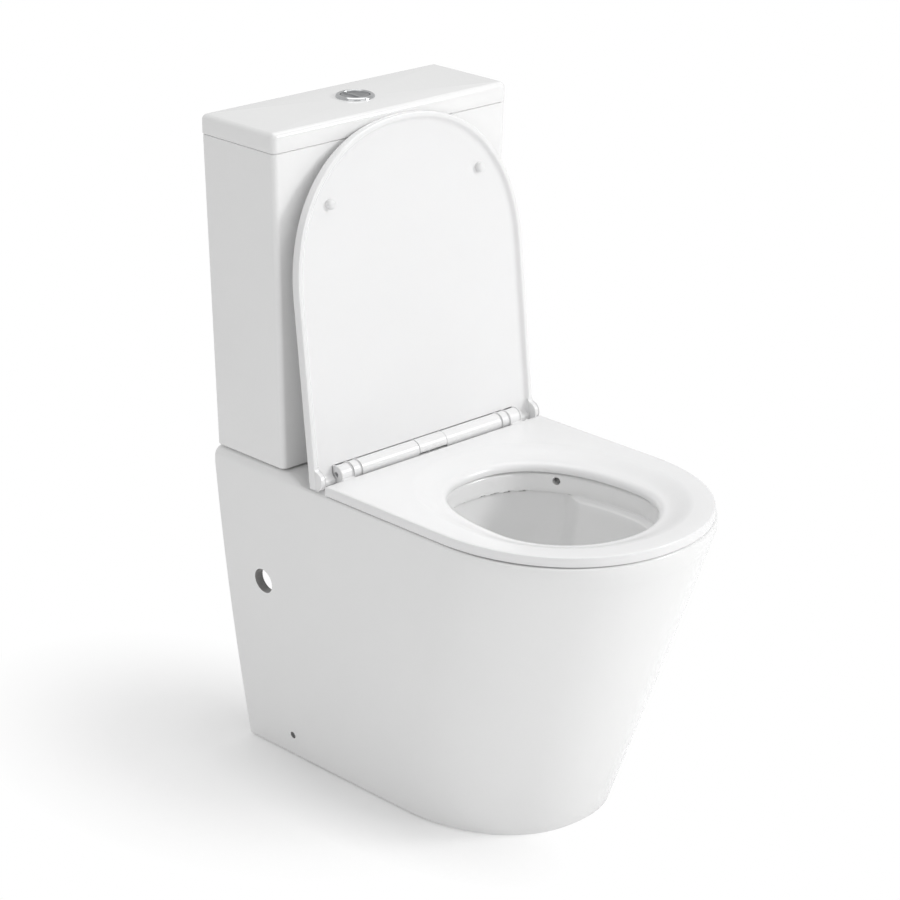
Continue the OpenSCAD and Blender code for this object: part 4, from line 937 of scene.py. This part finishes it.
def build_bezel():
    r_in, sleeve = BUTTON_D / 2 + 0.3, BUTTON_D / 2 + 1.9
    steps = [(sleeve, -20), (sleeve, 0), (23.6, 0), (24.0, 0.3), (24.0, 0.9), (23.7, 1.7), (23.0, 2.5),
             (21.9, 3.15), (20.8, 3.45), (20.0, 3.5), (19.2, 3.35), (18.6, 2.9), (r_in, 2.2), (r_in, -20)]
    return lathe("button_ring", 0, VALVE_T, [(r, LID_TOP + h) for r, h in steps], 128, cap=False)


def build_button(left):
    """One half of the split disc, slightly dished, with soft edges all round."""
    r, z0, z1 = BUTTON_D / 2, BUTTON_TOP - 13, BUTTON_TOP
    xs = SPLIT - 0.2 if left else SPLIT + 0.2
    a0 = math.acos(xs / r)
    angles = np.linspace(a0, 2 * math.pi - a0, 61) if left else np.linspace(-a0, a0, 61)
    outer = [(r * math.cos(a), r * math.sin(a)) for a in angles]
    chord = [(xs, y) for y in np.linspace(outer[-1][1], outer[0][1], 24)[1:-1]]
    loop = np.array(outer + chord)
    mid = loop.mean(0)

    def ring(inset, z):
        d = loop - mid
        ln = np.linalg.norm(d, axis=1)[:, None]
        q = mid + d * np.maximum(ln - inset, 0.01) / ln
        return np.column_stack([q[:, 0], VALVE_T - q[:, 1], np.full(len(q), z)])

    rings = [ring(0, z0)]
    rings += [ring(inset, z1 - down) for inset, down in (
        (0, 1.5), (0.15, 0.9), (0.5, 0.4), (1.0, 0.1), (1.6, 0), (3.0, 0.05), (5.0, 0.35), (6.0, 0.45))]
    return loft("half_key" if left else "full_key", rings)


piece(build_bezel(), "suite", chrome, "chrome", "button_bezel")
# Both keys get the chrome whose darker colour paints their dark reflections.
piece(build_button(False), "full_button", dark_reflection_chrome, "chrome", "full_flush_button")
piece(build_button(True), "half_button", dark_reflection_chrome, "chrome", "half_flush_button")


# The other CAD nodes keep their own meshes and get a material each.
NODE_LOOKS = (
    (steel, "steel", ("hinge_pins", "hinge_bolts", "float_link", "tank_bolt_washers", "floor_screws",
                      "side_screws")),
    (brass, "brass", ("lever_pin", "tank_bolts", "tank_wing_nuts")),
    (rubber, "rubber", ("hinge_washers", "seat_buffers", "flush_valve_washer", "valve_seal", "inlet_washer",
                        "tank_gasket", "tank_spacers", "tank_bolt_seals")),
    (blue, "valve_blue", ("soft_close_dampers", "actuator_housing", "fill_valve_head")),
    (nylon, "valve_plastic", ("hinge_nuts", "bezel_nut", "full_flush_rod", "half_flush_rod",
                              "flush_valve_cage", "flush_valve_base", "flush_valve_nut", "overflow_tube",
                              "fill_valve_body", "inlet_nut", "float_cup", "valve_lever",
                              "floor_brackets")),
)
for mat, slot, names in NODE_LOOKS:
    for name in names:
        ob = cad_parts[name]
        paint(ob, mat)
        ob.data.set_sharp_from_angle(angle=SHARP_CAD)
        for p in ob.data.polygons:
            p.use_smooth = True


# Stage, light and camera, in metres.
def ellipse(nt, vec, scale, place):
    """Spherical gradient over an ellipse on the floor: 1 in its middle and 0 from its edge on."""
    glow = nt.nodes.new("ShaderNodeTexGradient")
    glow.gradient_type = "SPHERICAL"
    mapping = nt.nodes.new("ShaderNodeMapping")
    mapping.inputs["Scale"].default_value = scale
    mapping.inputs["Location"].default_value = place
    nt.links.new(vec, mapping.inputs["Vector"])
    nt.links.new(mapping.outputs[0], glow.inputs[0])
    return glow.outputs["Fac"]


def stage_floor():
    """White floor whose own glow, seen by the camera only, fades round the object and beside its foot."""
    n = 96
    verts = [(0, 0, 0)]
    faces = []
    for k, r in enumerate((0.6, 1.2, 2.4, 5.0, 14.0)):
        verts += [(x, y, 0) for x, y in circle_pts(0, 0, r, n)]
        for i in range(n):
            j = (i + 1) % n
            if k == 0:
                faces.append((0, 1 + i, 1 + j))
            else:
                b, c = 1 + (k - 1) * n, 1 + k * n
                faces.append((b + i, c + i, c + j, b + j))
    ob = make("floor_sweep", verts, faces)
    m, nt, sh, vec = nodes_of("floor_paper")
    paper = ramp(nt, noise(nt, vec, 3.0, 3.0), [(0.3, grey(0.955)), (0.7, grey(0.975))])
    nt.links.new(paper, sh.inputs["Base Color"])
    sh.inputs["Roughness"].default_value = 0.9
    sh.inputs["Specular IOR Level"].default_value = 0.1
    fade = ramp(nt, ellipse(nt, vec, (3.7, 2.4, 1.0), (0.70, -0.72, 0.0)),
                [(0.0, grey(1.0)), (0.25, grey(0.8)), (0.6, grey(0.42)), (1.0, grey(0.22))])
    contact = ramp(nt, ellipse(nt, vec, (8.0, 3.1, 1.0), (1.04, -0.25, 0.0)),
                   [(0.0, grey(1.0)), (0.7, grey(0.2))])
    fade = math_node(nt, "MULTIPLY", fade, contact)
    glow = nt.nodes.new("ShaderNodeEmission")
    path = nt.nodes.new("ShaderNodeLightPath")
    amount = math_node(nt, "MULTIPLY", fade, path.outputs["Is Camera Ray"])
    mix = nt.nodes.new("ShaderNodeMixShader")
    nt.links.new(amount, mix.inputs[0])
    nt.links.new(sh.outputs[0], mix.inputs[1])
    nt.links.new(glow.outputs[0], mix.inputs[2])
    nt.links.new(mix.outputs[0], node_of_type(nt, "OUTPUT_MATERIAL").inputs[0])
    paint(ob, m)


def studio_world(ambient_light):
    """Even white light all round, behind a backdrop that only the camera sees."""
    world = bpy.data.worlds.new("studio")
    bpy.context.scene.world = world
    world.use_nodes = True
    nt = world.node_tree
    nt.nodes.clear()
    out = nt.nodes.new("ShaderNodeOutputWorld")
    ambient = nt.nodes.new("ShaderNodeBackground")
    ambient.inputs[0].default_value = grey(1.0)
    ambient.inputs[1].default_value = ambient_light
    backdrop = nt.nodes.new("ShaderNodeBackground")
    backdrop.inputs[1].default_value = 1.0
    path = nt.nodes.new("ShaderNodeLightPath")
    mix = nt.nodes.new("ShaderNodeMixShader")
    nt.links.new(path.outputs["Is Camera Ray"], mix.inputs[0])
    nt.links.new(ambient.outputs[0], mix.inputs[1])
    nt.links.new(backdrop.outputs[0], mix.inputs[2])
    nt.links.new(mix.outputs[0], out.inputs[0])


def softbox(name, place, aim_z, size, power):
    """Area light of a width and height, turned to a point on the object's middle line."""
    lamp = bpy.data.lights.new(name, "AREA")
    lamp.shape = "RECTANGLE"
    lamp.size, lamp.size_y = size
    lamp.energy = power
    lamp.spread = math.pi
    ob = bpy.data.objects.new(name, lamp)
    bpy.context.scene.collection.objects.link(ob)
    ob.location = place
    ob.rotation_mode = "QUATERNION"
    ob.rotation_quaternion = (Vector((0, 0, aim_z)) - Vector(place)).to_track_quat("-Z", "Y")


# The camera as fitted to the photo: sizes in pixels, angles in degrees, distances in metres.
PHOTO_SIDE, FOCAL, CENTRE_X, CENTRE_Y = 900, 2944.31, 507.5, 488.34
TURN, TILT, ROLL, DISTANCE = -44.69, 21.74, 0.64, 3.52307
AIM = (0.0, (WALL_Y - 330.0) / 1000, 0.4)
SENSOR = 36.0


def photo_camera():
    data = bpy.data.cameras.new("photo_view")
    data.sensor_width = SENSOR
    data.lens = FOCAL / PHOTO_SIDE * SENSOR
    data.shift_x = -(CENTRE_X - PHOTO_SIDE / 2) / PHOTO_SIDE
    data.shift_y = (CENTRE_Y - PHOTO_SIDE / 2) / PHOTO_SIDE
    data.clip_start, data.clip_end = 0.1, 60
    cam = bpy.data.objects.new("photo_view", data)
    bpy.context.scene.collection.objects.link(cam)
    az, el, roll = math.radians(TURN), math.radians(TILT), math.radians(ROLL)
    back = Vector((math.sin(az) * math.cos(el), -math.cos(az) * math.cos(el), math.sin(el)))
    cam.location = Vector(AIM) + back * DISTANCE
    cam.rotation_mode = "QUATERNION"
    cam.rotation_quaternion = (-back).to_track_quat("-Z", "Y")
    cam.rotation_quaternion = cam.rotation_quaternion @ Matrix.Rotation(roll, 3, "Z").to_quaternion()
    bpy.context.scene.camera = cam


stage_floor()
studio_world(ambient_light=0.57)
softbox("key_front_right", (2.2, -2.6, 2.2), 0.45, (0.9, 0.9), 48)
softbox("front", (0.2, -3.6, 1.6), 0.45, (2.0, 2.0), 10.5)
softbox("top", (0.3, 0.2, 3.2), 0.3, (2.4, 2.4), 25)
softbox("fill_left", (-3.0, -1.2, 1.4), 0.4, (2.0, 2.4), 6.5)
photo_camera()
bpy.context.scene.view_settings.view_transform = "Standard"
